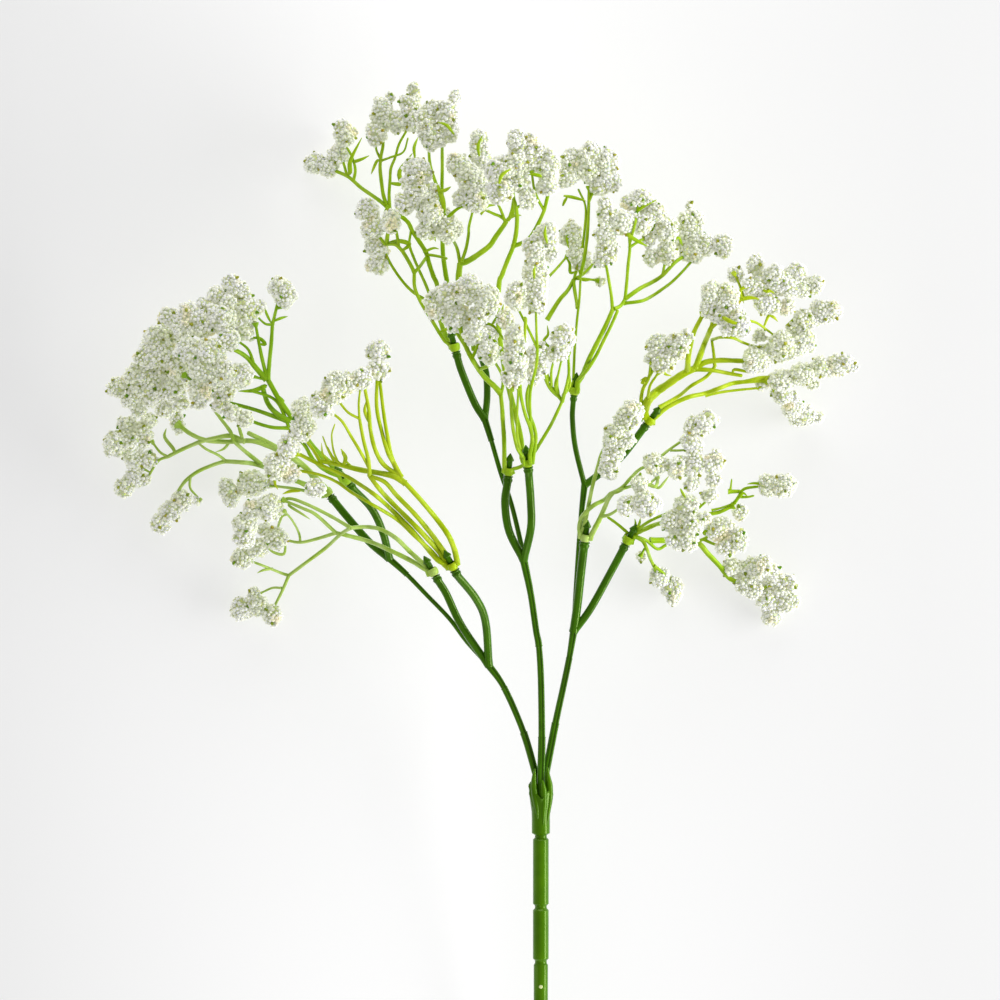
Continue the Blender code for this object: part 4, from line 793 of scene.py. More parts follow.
def blend(tree, share, first, second):
    """Two colours, each a hex code or a node's output, mixed by a share of the second."""
    first, second = (linear(colour) if isinstance(colour, str) else colour for colour in (first, second))
    return add(tree, "ShaderNodeMix", {"Factor": share, FIRST: first, SECOND: second},
               data_type="RGBA").outputs[MIXED]


def reckon(tree, operation, first, second):
    """The outcome of a sum on two numbers."""
    return add(tree, "ShaderNodeMath", {0: first, 1: second}, operation=operation).outputs[0]


def chance(tree, low, high, seed):
    """A random number for each thing, between low and high."""
    return add(tree, "FunctionNodeRandomValue", {2: low, 3: high, "Seed": seed},
               data_type="FLOAT").outputs[1]


def new_material(name, roughness, metallic=0.0):
    """A material with its node tree, its Principled shader and the place on its piece."""
    surface = bpy.data.materials.new(name)
    surface.use_nodes = True
    tree = surface.node_tree
    shader = tree.nodes["Principled BSDF"]
    shader.inputs["Roughness"].default_value = roughness
    shader.inputs["Metallic"].default_value = metallic
    return surface, tree, shader, add(tree, "ShaderNodeTexCoord").outputs["Object"]


def moulded_polyethylene(part, painted_groove_shade, main, light, roughness=0.34, glow=0.15):
    """Polyethylene from a mould: waxy, with a soft greenish highlight and the tool's fine grain.

    Its colour drifts a little every 7 mm, and a painted shade makes it darker down a groove. The glow is
    the light that goes into thin parts, which makes the pale ones look lit from inside.
    """
    surface, tree, shader, place = new_material("moulded_polyethylene_" + part, roughness)
    shader.inputs["IOR"].default_value = 1.51
    shader.inputs["Specular IOR Level"].default_value = 0.42
    shader.inputs["Specular Tint"].default_value = linear("#CFF08A")
    shader.inputs["Subsurface Weight"].default_value = glow
    shader.inputs["Subsurface Radius"].default_value = (1.0, 0.8, 0.25)
    shader.inputs["Subsurface Scale"].default_value = 1.2 * MM
    base = blend(tree, ramp(tree, noise(tree, 7, 2.0, place), 0.35, 0.7), main, light)
    # Painted shade: corners marked in a groove are blended towards the first colour
    groove_and_painted_shade = add(tree, "ShaderNodeAttribute", attribute_name="groove_and_painted_shade").outputs["Fac"]
    tree.links.new(blend(tree, groove_and_painted_shade, base, painted_groove_shade), shader.inputs["Base Color"])
    grain = noise(tree, 0.5, 3.0, place)
    bump = add(tree, "ShaderNodeBump", {"Height": grain, "Strength": 0.25, "Distance": 0.05 * MM})
    tree.links.new(bump.outputs["Normal"], shader.inputs["Normal"])
    return surface


def expanded_foam_bead():
    """Expanded foam beads, glued on: matt and soft, some greyish or greenish, a few glue-stained.

    Their weak light of their own stands for the light that goes from bead to bead in real foam.
    """
    surface, tree, shader, place = new_material("expanded_foam_bead", 0.75)
    shader.inputs["IOR"].default_value = 1.4
    shader.inputs["Specular IOR Level"].default_value = 0.2
    shader.inputs["Subsurface Weight"].default_value = 1.0
    shader.inputs["Subsurface Radius"].default_value = (1.0, 1.0, 0.75)
    shader.inputs["Subsurface Scale"].default_value = 1.6 * MM
    # Painted light: the beads glow a little, which lightens the shade between them
    shader.inputs["Emission Color"].default_value = linear("#E9ECD2")
    shader.inputs["Emission Strength"].default_value = 0.12
    white = blend(tree, ramp(tree, noise(tree, 14, 1.0, place), 0.4, 0.65), "#E8E8E2", "#E0E4CF")
    tint = add(tree, "ShaderNodeAttribute", attribute_name="bead_tint").outputs["Fac"]
    grey = blend(tree, ramp(tree, tint, 0.8, 1.0, most=0.6), white, "#DDE6BC")
    stain = ramp(tree, noise(tree, 5.5, 0.0, place), 0.7, 0.78, most=0.6)
    tree.links.new(blend(tree, stain, grey, "#F3DDA6"), shader.inputs["Base Color"])
    return surface


def drawn_steel_wire():
    """Drawn steel core wire: dull grey metal with fine lines along its length."""
    surface, tree, shader, place = new_material("drawn_steel_wire", 0.38, 1.0)
    stretch = add(tree, "ShaderNodeMapping", {"Vector": place, "Scale": (1, 0.05, 1)})
    lines = noise(tree, 0.12, 2.0, stretch.outputs["Vector"])
    tree.links.new(blend(tree, lines, "#8E8C88", "#BEBCB6"), shader.inputs["Base Color"])
    return surface


def matt_white_paper():
    """White paper on a light table: flat and matt, with painted shade a little darker towards both sides.
    """
    surface, tree, shader, place = new_material("matt_white_paper", 0.95)
    across = add(tree, "ShaderNodeSeparateXYZ", {0: place}).outputs["X"]
    # Painted shade: the paper's colour, and with it its glow, falls off towards both sides
    left = blend(tree, ramp(tree, across, -160 * MM, -20 * MM), "#A3A3A3", "#B2B2B2")
    shaded_paper = blend(tree, ramp(tree, across, -20 * MM, 150 * MM), left, "#A6A6A6")
    tree.links.new(shaded_paper, shader.inputs["Base Color"])
    tree.links.new(shaded_paper, shader.inputs["Emission Color"])
    shader.inputs["Emission Strength"].default_value = PAPER_GLOW
    shader.inputs["Specular IOR Level"].default_value = 0.0
    return surface


def stem_axis():
    """The stem's cut end and its direction: it slopes from the table up to the crown."""
    slope = math.atan2(CROWN_TOP_Z - STEM_RADIUS, CROWN_TOP_Y - STEM_END_Y)
    end = Vector((0, STEM_END_Y, STEM_RADIUS * math.cos(slope)))
    return end, (Vector((0, CROWN_TOP_Y, CROWN_TOP_Z)) - end).normalized()


def along_stem(y):
    """The point on the stem's axis at a height of y up the stem."""
    end, direction = stem_axis()
    return end + direction * ((y - STEM_END_Y) / direction.y)


def to_frame():
    """How far the stem's frame lies from the CAD model's, in metres, read from the stem's box."""
    low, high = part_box("main_stem")
    direction = stem_axis()[1]
    foot_y = (STEM_END_Y - STEM_RADIUS * direction.z) * MM
    return Vector(((low[0] + high[0]) / 2, low[1] - foot_y, 0.0))


SHIFT = to_frame()


def place_camera():
    """The camera over the table, looking straight down, which is the photograph's view."""
    camera = bpy.data.cameras.new("camera")
    camera.sensor_width = SENSOR_WIDTH
    camera.lens = SENSOR_WIDTH * CAMERA_DISTANCE / PHOTO_WIDTH
    camera.clip_end = FARTHEST_SEEN
    holder = bpy.data.objects.new("camera", camera)
    centre = SHIFT + Vector((*PHOTO_CENTRE, 0)) * MM
    holder.location = centre + Vector((0, 0, CAMERA_DISTANCE + MIDDLE_HEIGHT)) * MM
    bpy.context.scene.collection.objects.link(holder)
    bpy.context.scene.camera = holder


def lay_paper():
    """The paper that the stem lies on."""
    bpy.ops.mesh.primitive_plane_add(size=PAPER_SIZE, location=(0, 0, 0))
    floor = bpy.context.object
    floor.name = "table_paper"
    floor.data.materials.append(matt_white_paper())


def light_studio():
    """Softboxes on four sides, the strongest low on the right, and an even white sky."""
    for name, (place, width, height, power) in SOFTBOXES.items():
        lamp = bpy.data.lights.new(name, "AREA")
        lamp.shape = "RECTANGLE"
        lamp.size = width
        lamp.size_y = height
        lamp.energy = power
        thing = bpy.data.objects.new(name, lamp)
        thing.location = place
        thing.rotation_euler = (-Vector(place)).to_track_quat("-Z", "Y").to_euler()
        thing.visible_camera = False
        bpy.context.scene.collection.objects.link(thing)

    world = bpy.data.worlds.new("soft_sky")
    world.use_nodes = True
    sky = world.node_tree.nodes["Background"]
    sky.inputs["Color"].default_value = (1, 1, 1, 1)
    sky.inputs["Strength"].default_value = SKY_STRENGTH
    bpy.context.scene.world = world
    bpy.context.scene.view_settings.view_transform = "Standard"


def socket_type(value):
    """The kind of socket that a tree's input of this value needs."""
    if isinstance(value, int):
        return "NodeSocketInt"
    return "NodeSocketFloat" if isinstance(value, float) else "NodeSocketMaterial"


def new_tree(name, inputs):
    """A geometry node tree with named inputs, and its input and output nodes."""
    tree = bpy.data.node_groups.new(name, "GeometryNodeTree")
    tree.interface.new_socket("Geometry", in_out="OUTPUT", socket_type="NodeSocketGeometry")
    tree.interface.new_socket("Geometry", in_out="INPUT", socket_type="NodeSocketGeometry")
    for label, value in inputs.items():
        tree.interface.new_socket(label, in_out="INPUT", socket_type=socket_type(value))
    return tree, add(tree, "NodeGroupInput").outputs, add(tree, "NodeGroupOutput")


def grow(name, data, tree, inputs):
    """The plain mesh that a geometry node tree makes of some data, with its inputs set."""
    thing = bpy.data.objects.new(name, data)
    bpy.context.scene.collection.objects.link(thing)
    modifier = thing.modifiers.new("grow", "NODES")
    modifier.node_group = tree
    for item in tree.interface.items_tree:
        if item.in_out == "INPUT" and item.name in inputs:
            modifier[item.identifier] = inputs[item.name]
    depsgraph = bpy.context.evaluated_depsgraph_get()
    mesh = bpy.data.meshes.new_from_object(thing.evaluated_get(depsgraph))
    bpy.data.objects.remove(thing)
    return mesh


def faced(tree, geometry, surface):
    """Real geometry in place of instances, with its material."""
    whole = add(tree, "GeometryNodeRealizeInstances", {"Geometry": geometry}).outputs[0]
    return add(tree, "GeometryNodeSetMaterial", {"Geometry": whole, "Material": surface}).outputs[0]


def rounded(tree, geometry):
    """Geometry with smooth shading."""
    return add(tree, "GeometryNodeSetShadeSmooth", {"Geometry": geometry}).outputs[0]


def marked(tree, geometry, name, value):
    """Geometry with a named number on each point."""
    return add(tree, "GeometryNodeStoreNamedAttribute", {
        "Geometry": geometry, "Name": name, "Value": value}, domain="POINT").outputs[0]


def pushed(tree, geometry, way, distance):
    """Geometry with each point pushed some distance along its way."""
    push = add(tree, "ShaderNodeVectorMath", {0: way, "Scale": distance}, operation="SCALE").outputs[0]
    return add(tree, "GeometryNodeSetPosition", {"Geometry": geometry, "Offset": push}).outputs[0]


def strewn(tree, core, seed, spacing, per_square, share=1.0):
    """Random points on a core, with a least spacing and at most so many to the square millimetre."""
    return add(tree, "GeometryNodeDistributePointsOnFaces", {
        "Mesh": core, "Distance Min": spacing, "Density Max": per_square / MM ** 2,
        "Density Factor": share, "Seed": seed}, distribute_method="POISSON").outputs


def sweep_tree():
    """Sweeps a section along every curve, as thick as the curve's radius says, groove upwards.

    A section's negative Y comes to lie upwards on a level curve.
    """
    tree, given, out = new_tree("moulded twig", SWEEP_INPUTS)
    circle = add(tree, "GeometryNodeCurvePrimitiveCircle", {
        "Resolution": given["Sides"], "Radius": 1.0}).outputs["Curve"]
    place = add(tree, "GeometryNodeInputPosition").outputs[0]
    parts = add(tree, "ShaderNodeSeparateXYZ", {0: place}).outputs
    toward = add(tree, "ShaderNodeVectorMath", {0: place, 1: GROOVE_WAY}, operation="DOT_PRODUCT")
    facing = reckon(tree, "GREATER_THAN", toward.outputs["Value"], GROOVE_EDGE)
    height = reckon(tree, "ADD", parts["Y"], reckon(tree, "MULTIPLY", facing, given["Groove"]))
    flat = reckon(tree, "MULTIPLY", height, given["Flatness"])
    corner = add(tree, "ShaderNodeCombineXYZ", {"X": parts["X"], "Y": flat}).outputs[0]
    # Painted shade: grooved corners carry a number that darkens the material's colour there
    toned = marked(tree, circle, "groove_and_painted_shade", reckon(tree, "MULTIPLY", facing, given["Groove Painted Shade"]))
    section = add(tree, "GeometryNodeSetPosition", {"Geometry": toned, "Position": corner}).outputs[0]
    level = add(tree, "GeometryNodeSetCurveNormal", {"Curve": given["Geometry"]}, mode="Z_UP").outputs[0]
    thickness = add(tree, "GeometryNodeInputRadius").outputs[0]
    tube = add(tree, "GeometryNodeCurveToMesh", {
        "Curve": level, "Profile Curve": section, "Scale": thickness, "Fill Caps": True}).outputs[0]
    tree.links.new(faced(tree, rounded(tree, tube), given["Surface"]), out.inputs[0])
    return tree


def melted_core(tree, given):
    """Floret balls melted into one skin with a lumpy surface."""
    size = add(tree, "GeometryNodeInputNamedAttribute", {"Name": "floret_radius"}, data_type="FLOAT")
    balls = add(tree, "GeometryNodeMeshToPoints", {"Mesh": given["Geometry"]}).outputs[0]
    cloud = add(tree, "GeometryNodePointsToVolume", {
        "Points": balls, "Density": 1.0, "Voxel Size": given["Voxel"],
        "Radius": size.outputs[0]}, resolution_mode="VOXEL_SIZE").outputs[0]
    skin = add(tree, "GeometryNodeVolumeToMesh", {
        "Volume": cloud, "Voxel Size": given["Voxel"], "Threshold": CORE_THRESHOLD},
        resolution_mode="VOXEL_SIZE").outputs[0]
    outward = add(tree, "GeometryNodeInputNormal").outputs[0]
    lumps = ramp(tree, noise(tree, LUMP_SIZE, 1.0), *LUMP_EDGES, LUMP_IN * MM, LUMP_OUT * MM)
    return rounded(tree, pushed(tree, skin, outward, lumps))


def beads_over(tree, given, core):
    """Beads glued over a core, each with its own size, height and tint."""
    cover = ramp(tree, noise(tree, BALD_SPOT, 1.0), *BALD_EDGES)
    outward = add(tree, "GeometryNodeInputNormal").outputs[0]
    slant = add(tree, "ShaderNodeSeparateXYZ", {0: outward}).outputs["Z"]
    under = ramp(tree, slant, *UNDERSIDE_EDGES, UNDERSIDE_SHARE)
    spots = strewn(tree, core, given["Seed"], given["Bead Spacing"], BEADS_PER_SQUARE,
                   reckon(tree, "MULTIPLY", cover, under))
    raised = chance(tree, -BEAD_RAISE * MM, BEAD_RAISE * MM, RAISE_SEED)
    loose = pushed(tree, spots["Points"], spots["Normal"], raised)
    tinted = marked(tree, loose, "bead_tint", chance(tree, 0.0, 1.0, given["Seed"]))
    ball = add(tree, "GeometryNodeMeshIcoSphere", {"Radius": UNIT_BEAD_RADIUS, "Subdivisions": 1})
    width = reckon(tree, "MULTIPLY", chance(tree, *BEAD_SIZES, SIZE_SEED), given["Bead Diameter"])
    turn = add(tree, "FunctionNodeRandomValue", {1: (WHOLE_TURN,) * 3, "Seed": TURN_SEED},
               data_type="FLOAT_VECTOR").outputs[0]
    beads = add(tree, "GeometryNodeInstanceOnPoints", {
        "Points": tinted, "Instance": rounded(tree, ball.outputs[0]), "Scale": width,
        "Rotation": turn}).outputs[0]
    return faced(tree, beads, given["Bead"])


def calyx_tips_over(tree, given, core):
    """A few small calyx tips that stand on a core, between its beads."""
    spots = strewn(tree, core, given["Seed"], CALYX_SPACING * MM, CALYXES_PER_SQUARE)
    cone = add(tree, "GeometryNodeMeshCone", {
        "Vertices": CALYX_SIDES, "Radius Top": CALYX_TOP * MM, "Radius Bottom": CALYX_FOOT * MM,
        "Depth": CALYX_HEIGHT * MM}).outputs[0]
    tips = add(tree, "GeometryNodeInstanceOnPoints", {
        "Points": spots["Points"], "Instance": cone, "Rotation": spots["Rotation"]}).outputs[0]
    return faced(tree, tips, given["Sepal"])


def bead_tree():
    """Melts floret balls into one core, coats it with beads and lets a few calyx tips through."""
    tree, given, out = new_tree("beaded flower head", BEAD_INPUTS)
    core = melted_core(tree, given)
    beads = beads_over(tree, given, core)
    tips = calyx_tips_over(tree, given, core)
    joined = add(tree, "GeometryNodeJoinGeometry")
    for part in (beads, tips, faced(tree, core, given["Core"])):
        tree.links.new(part, joined.inputs[0])
    tree.links.new(joined.outputs[0], out.inputs[0])
    return tree


def portion(value, low, high):
    """How far a value is from low to high, from nought to one."""
    return min(max((value - low) / (high - low), 0), 1)


def smooth(rows, steps):
    """Rows of numbers on a smooth curve through the given ones."""
    ends = [rows[0] * 2 - rows[1]] + rows + [rows[-1] * 2 - rows[-2]]
    curve = []
    for before, start, stop, after in zip(ends, ends[1:], ends[2:], ends[3:]):
        for step in range(steps):
            t = step / steps
            curve.append(0.5 * (2 * start + (stop - before) * t
                                + (2 * before - 5 * start + 4 * stop - after) * t ** 2
                                + (3 * start - before - 3 * stop + after) * t ** 3))
    return curve + [rows[-1]]


def stepped(way, widths, steps):
    """A smooth tube through points; a pair of widths is a small moulded step at its point."""
    pairs = [width if isinstance(width, tuple) else (width, width) for width in widths]
    fine = smooth(way, steps)
    points, radii = [], []
    for index, point in enumerate(fine):
        number, rest = divmod(index, steps)
        below, above = pairs[number]
        if rest:
            ahead = pairs[number + 1][0]
            points.append(point)
            radii.append((above + (ahead - above) * rest / steps) / 2)
        elif isinstance(widths[number], tuple):
            along = (fine[min(index + 1, len(fine) - 1)] - fine[index - 1]).normalized()
            points += [point - along * STEP_REACH, point - along * STEP_HALF, point + along * STEP_HALF]
            radii += [below / 2, max(below, above) / 2 + STEP_BULGE, above / 2]
        else:
            points.append(point)
            radii.append(above / 2)
    return points, radii


def routes(name, tubes):
    """A curve with one spline for each tube: points in millimetres with a radius at each."""
    curve = bpy.data.curves.new(name, "CURVE")
    curve.dimensions = "3D"
    for points, radii in tubes:
        spline = curve.splines.new("POLY")
        spline.points.add(len(points) - 1)
        for target, point, radius in zip(spline.points, points, radii):
            target.co = (*(point * MM), 1.0)
            target.radius = radius * MM
    return curve


def swept(name, tubes, tree, surface, sides, groove_and_painted_shade, flatness=1.0):
    """One mesh of tubes with so many sides, a groove's depth and the strength of the painted shade down it.
    """
    groove_depth, groove_painted_shade = groove_and_painted_shade
    return grow(name, routes(name, tubes), tree, {
        "Sides": sides, "Flatness": flatness, "Groove": groove_depth, "Groove Painted Shade": groove_painted_shade,
        "Surface": surface})


def turned(profile, sides, place, direction):
    """A mesh turned from a profile of (radius, height) about an axis, in millimetres."""
    shape = bmesh.new()
    corners = [shape.verts.new((radius * MM, 0, height * MM)) for radius, height in profile]
    edges = [shape.edges.new(pair) for pair in zip(corners, corners[1:])]
    bmesh.ops.spin(shape, geom=corners + edges, axis=(0, 0, 1), cent=(0, 0, 0), angle=math.tau,
                   steps=sides, use_merge=True)
    bmesh.ops.remove_doubles(shape, verts=shape.verts, dist=MERGE_DISTANCE)
    bmesh.ops.recalc_face_normals(shape, faces=shape.faces)
    turn = direction.to_track_quat("Z", "Y").to_matrix().to_4x4()
    bmesh.ops.transform(shape, matrix=Matrix.Translation(place * MM) @ turn, verts=shape.verts)
    mesh = bpy.data.meshes.new("turned")
    shape.to_mesh(mesh)
    shape.free()
    mesh.shade_smooth()
    mesh.set_sharp_from_angle(angle=math.radians(SHARP_ANGLE))
    return mesh


def finish_piece(name, meshes, node, surface=None):
    """Join meshes into one piece at its place in the frame, and let it stand for its CAD node.

    The first mesh gives the piece its attributes and materials.
    """
    piece = bpy.data.objects.new(name, meshes[0])
    bpy.context.scene.collection.objects.link(piece)
    if len(meshes) > 1:
        whole = bmesh.new()
        for mesh in meshes:
            whole.from_mesh(mesh)
        whole.to_mesh(meshes[0])
        whole.free()
    if surface:
        piece.data.materials.clear()
        piece.data.materials.append(surface)
    piece.data.transform(Matrix.Translation(SHIFT))
    piece.data.name = name
    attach(piece, "root")
    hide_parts(node)
    return piece


def stem_outline():
    """The main stem's profile as radius and place: socket, crown, rings, cut end and wire bore."""
    floor = CROWN_TOP_Y - SOCKET_DEPTH
    outline = [(0, floor), (SOCKET_RADIUS, floor), *CROWN_OUTLINE]
    rings = [*FIRST_RINGS_Y, *(FIRST_RINGS_Y[-1] - RING_PITCH * (i + 1) for i in range(LOWER_RINGS))]
    above = CROWN_NECK_RADIUS
    for number, ring in enumerate(rings):
        below = UPPER_STEM_RADIUS if number < UPPER_STEM_RINGS else STEM_RADIUS
        for deep, wide in RING_CURVE:
            outline.append((above + (RING_RADIUS - above) * deep,
                            ring + RING_HALF_WIDTH + RING_SHOULDER * wide))
        for deep, wide in reversed(RING_CURVE):
            outline.append((below + (RING_RADIUS - below) * deep,
                            ring - RING_HALF_WIDTH - RING_SHOULDER * wide))
        above = below
    return outline + [
        (STEM_RADIUS, STEM_END_Y + STEM_EDGE), (STEM_RADIUS - STEM_EDGE, STEM_END_Y),
        (WIRE_BORE_RADIUS, STEM_END_Y), (WIRE_BORE_RADIUS, WIRE_BORE_TOP_Y), (0, WIRE_BORE_TOP_Y),
    ]


def shape_crown(stem):
    """Ridges that swell on the crown's front, and its ragged rim with dips in front and at the right."""
    end, direction = stem_axis()
    up = Vector((0, -direction.z, direction.y))
    floor = (CROWN_TOP_Y - SOCKET_DEPTH - STEM_END_Y) / direction.y
    for corner in stem.vertices:
        spot = corner.co / MM - end
        height = spot.dot(direction) - floor
        if height < CROWN_SHAPED_ABOVE:
            continue
        outward = up * spot.dot(up) + Vector((spot.x, 0, 0))
        angle = math.atan2(spot.x, spot.dot(up))
        if outward.length > SOCKET_RADIUS + SOCKET_WALL or height < CROWN_SOLID_BELOW:
            swell = sum(math.exp(-((angle - ridge) / CROWN_RIDGE_WIDTH) ** 2) for ridge in CROWN_RIDGES_AT)
            spot += outward.normalized() * (swell * CROWN_RIDGE * portion(height, *CROWN_RIDGE_HEIGHTS))
        if height > CROWN_NOTCH_START:
            dip = sum(share * math.exp(-((angle - at) / width) ** 2) for at, width, share in CROWN_DIPS)
            ragged = sum(size * math.sin(waves * angle + shift) for size, waves, shift in CROWN_WAVES)
            rise = (height - CROWN_NOTCH_START) / CROWN_NOTCH_RISE
            spot -= direction * ((CROWN_NOTCH * dip + ragged) * rise)
        corner.co = (spot + end) * MM


def crown_feet(tree, surface):
    """The feet of the arms, moulded over the front of the crown, and a torn flange at its left."""
    tubes = []
    for way in CROWN_FEET:
        places = []
        for x, y, width in way:
            reach = CROWN_NECK_RADIUS + CROWN_FLARE * portion(y, CROWN_NECK_Y, CROWN_FLARE_TOP_Y)
            reach -= FOOT_LEAN * max(y - FOOT_LEAN_FROM_Y, 0)
            lift = math.sqrt(reach ** 2 - x ** 2) - FOOT_SUNK * width
            places.append(Vector((x, y, along_stem(y).z + lift)))
        tubes.append(stepped(places, [width for x, y, width in way], FOOT_STEPS))
    return swept("feet", tubes, tree, surface, FOOT_SIDES, NO_GROOVE)


def gate_mark():
    """The small flat knob where the plastic was let into the stem's mould."""
    profile = [
        (0, GATE_MARK_PROUD), (GATE_MARK_RADIUS * GATE_MARK_FACE, GATE_MARK_PROUD),
        (GATE_MARK_RADIUS, 0), (GATE_MARK_RADIUS, -GATE_MARK_SUNK), (0, -GATE_MARK_SUNK),
    ]
    place = along_stem(GATE_MARK_Y) + Vector((0, 0, STEM_RADIUS))
    return turned(profile, GATE_MARK_SIDES, place, Vector((0, 0, 1)))


def make_stem(tree, surface, mark_surface):
    """The main stem: rounded rings up its length, a funnel crown with the arms' feet, a gate mark."""
    end, direction = stem_axis()
    heights = [(radius, (y - STEM_END_Y) / direction.y) for radius, y in stem_outline()]
    stem = turned(heights, STEM_SIDES, end, direction)
    shape_crown(stem)
    mark = gate_mark()
    for material in (surface, mark_surface):
        stem.materials.append(material)
    for face in mark.polygons:
        face.material_index = 1
    finish_piece("stem_moulding", [stem, mark, crown_feet(tree, surface)], "main_stem")


def dress_wire(surface):
    """The core wire shows as it is in the CAD model, in its own material."""
    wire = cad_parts["stem_wire"].data
    wire.materials.clear()
    wire.materials.append(surface)


def seat_in_crown(number):
    """Where an arm stands in the crown's socket: two side by side, one in front."""
    direction = stem_axis()[1]
    up = Vector((0, -direction.z, direction.y))
    half = ARM_SPACING / 2
    drop = half * math.tan(math.radians(PACKING_ANGLE))
    lift = half / math.cos(math.radians(PACKING_ANGLE))
    return Vector((number * half, 0, 0)) + up * (-drop if number else lift)


def peg_twig(start, spray):
    """A twig of an arm with its collar, and the barbed peg that holds the spray."""
    aim = Vector(spray["aim"]).normalized()
    seat = Vector(spray["hub"]) - aim * (RING_HEIGHT / 2 + RING_GAP)
    points = smooth([start] + [Vector(p) for p in spray["twig"]] + [seat - aim * COLLAR_LEAD], ARM_STEPS)
    radii = [spray["width"] / 2] * len(points)
    radii[0] *= FORK_SWELL
    collar = max(COLLAR_RADIUS * spray["width"] / COLLAR_TWIG_WIDTH, THIN_COLLAR_RADIUS)
    outline = [(height, collar * share) for height, share in COLLAR_OUTLINE]
    for height, radius in outline + list(PEG_OUTLINE):
        points.append(seat + aim * height)
        radii.append(radius)
    return points, radii


def blunt_tube(way, widths, end):
    """A stepped tube with a blunt end past its last place, and where the next parts start under it."""
    points, radii = stepped(way, widths, ARM_STEPS)
    last = (way[-1] - way[-2]).normalized()
    points += [way[-1] + last * reach for reach in end]
    radii += [radii[-1]] * (len(end) - 1) + [END_RADIUS]
    return points, radii, way[-1] - last * FORK_OVERLAP


def make_arm(name, arm, tree, surface):
    """One moulded arm: stepped shaft, thin extension, forks and the four pegs."""
    offset = seat_in_crown(arm["seat"])
    foot = along_stem(CROWN_TOP_Y - SOCKET_DEPTH + FOOT_GAP) + offset
    mouth = along_stem(CROWN_TOP_Y + STRAIGHT_FOOT) + offset
    forks = {}
    way = [mouth] + [Vector(p) for p in arm["shaft"]]
    points, radii, forks["shaft"] = blunt_tube(way, arm["shaft_width"], SHAFT_END)
    shafts = [([foot] + points, [radii[0]] + radii)]
    way = [forks["shaft"]] + [Vector(p) for p in arm["extension"]]
    points, radii, forks["extension"] = blunt_tube(way, arm["extension_width"], EXTENSION_END)
    shafts.append((points, radii))
    pegs = [peg_twig(forks[spray["fork"]], spray) for spray in SPRAYS.values() if spray["arm"] == name]
    meshes = [swept("shafts", shafts, tree, surface, ARM_SIDES, ARM_GROOVE_AND_SHADE),
              swept("pegs", pegs, tree, surface, ARM_SIDES, PEG_GROOVE_AND_SHADE)]
    finish_piece("moulded_arm_" + name, meshes, "arm_" + name, surface)


def corners_of(nodes):
    """The corners of some CAD nodes' meshes, in millimetres in the stem's frame."""
    return [(v.co - SHIFT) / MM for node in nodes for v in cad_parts[node].data.vertices]


def depth(x, y, corners):
    """The height at a place, from the nearest of the CAD model's corners."""
    total = weight = 0.0
    for corner in corners:
        share = 1 / ((corner.x - x) ** 2 + (corner.y - y) ** 2 + CORNER_BLUR) ** CORNER_POWER
        total += share * corner.z
        weight += share
    return total / weight


def placed(points, corners):
    """Points with three numbers each: a point with two gets its height from the CAD model."""
    return [Vector(p) if len(p) == 3 else Vector((*p, depth(*p, corners))) for p in points]


def twig_tube(twig, hub, aim, corners, heads, rng):
    """One twig, a little uneven, that ends in a cup under a flower head or in a plain tip."""
    start, end, *places = twig
    points = smooth(placed(places, corners), TWIG_STEPS)
    at_ring = (points[0] - hub).length < RING_TWIG_REACH
    if at_ring:
        out = points[0] - hub
        out = (out - aim * out.dot(aim)).normalized()
        points = [hub + out * (RING_OUTER - deep) - aim * under for deep, under in RING_TWIG_FOOT] + points
    last = len(points) - 1
    radii = [(start + (end - start) * i / last) / 2 for i in range(last + 1)]
    radii = [radius * rng.uniform(*TWIG_UNEVEN) for radius in radii]
    radii[0] *= RING_TWIG_START if at_ring else FORK_TWIG_START
    tip = points[-1]
    along = (tip - points[-2]).normalized()
    near = min((Vector(head[:2]) - tip.xy).length - max(head[2:4]) for head in heads)
    for ahead, share in CUP_OUTLINE if near < CUP_REACH else TIP_OUTLINE:
        points.append(tip + along * ahead)
        radii.append(end * share)
    return points, radii


def bract_tube(bract, tubes, corners):
    """One pointed bract, fullest in its middle, that grows out of the nearest twig if one is near."""
    width, *places = bract
    places = placed(places, corners)
    foot = min((point for points, radii in tubes for point in points),
               key=lambda point: (point - places[0]).length)
    nearest, farthest = BRACT_JOIN
    joins = nearest < (foot - places[0]).length < farthest
    points = smooth([foot] + places if joins else places, BRACT_STEPS)
    last = len(points) - 1
    swell = [math.sin(math.pi * (BRACT_START + BRACT_RUN * i / last)) for i in range(last + 1)]
    return points, [width * BRACT_FULLNESS * share ** BRACT_BLUNTNESS for share in swell]


def make_spray(name, spray, tree, surface, rng):
    """One slip-on spray: ring, forked twigs with cups under the heads, and pointed bracts."""
    nodes = [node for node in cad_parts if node.startswith("blossoms_" + name)]
    corners = corners_of(nodes + ["spray_" + name])
    heads = [head for node in nodes for head in HEADS[node[len("blossoms_"):]]]
    hub = Vector(spray["hub"])
    aim = Vector(spray["aim"]).normalized()
    ring = turned(RING_OUTLINE, RING_SIDES, hub, aim)
    tubes = [twig_tube(twig, hub, aim, corners, heads, rng) for twig in TWIGS[name]]
    bracts = [bract_tube(bract, tubes, corners) for bract in BRACTS[name]]
    twigs = swept("twigs", tubes, tree, surface, TWIG_SIDES, TWIG_GROOVE_AND_SHADE)
    blades = swept("bracts", bracts, tree, surface, BRACT_SIDES, BRACT_GROOVE_AND_SHADE, BRACT_FLATNESS)
    finish_piece("twigs_" + name, [twigs, ring, blades], "spray_" + name, surface)


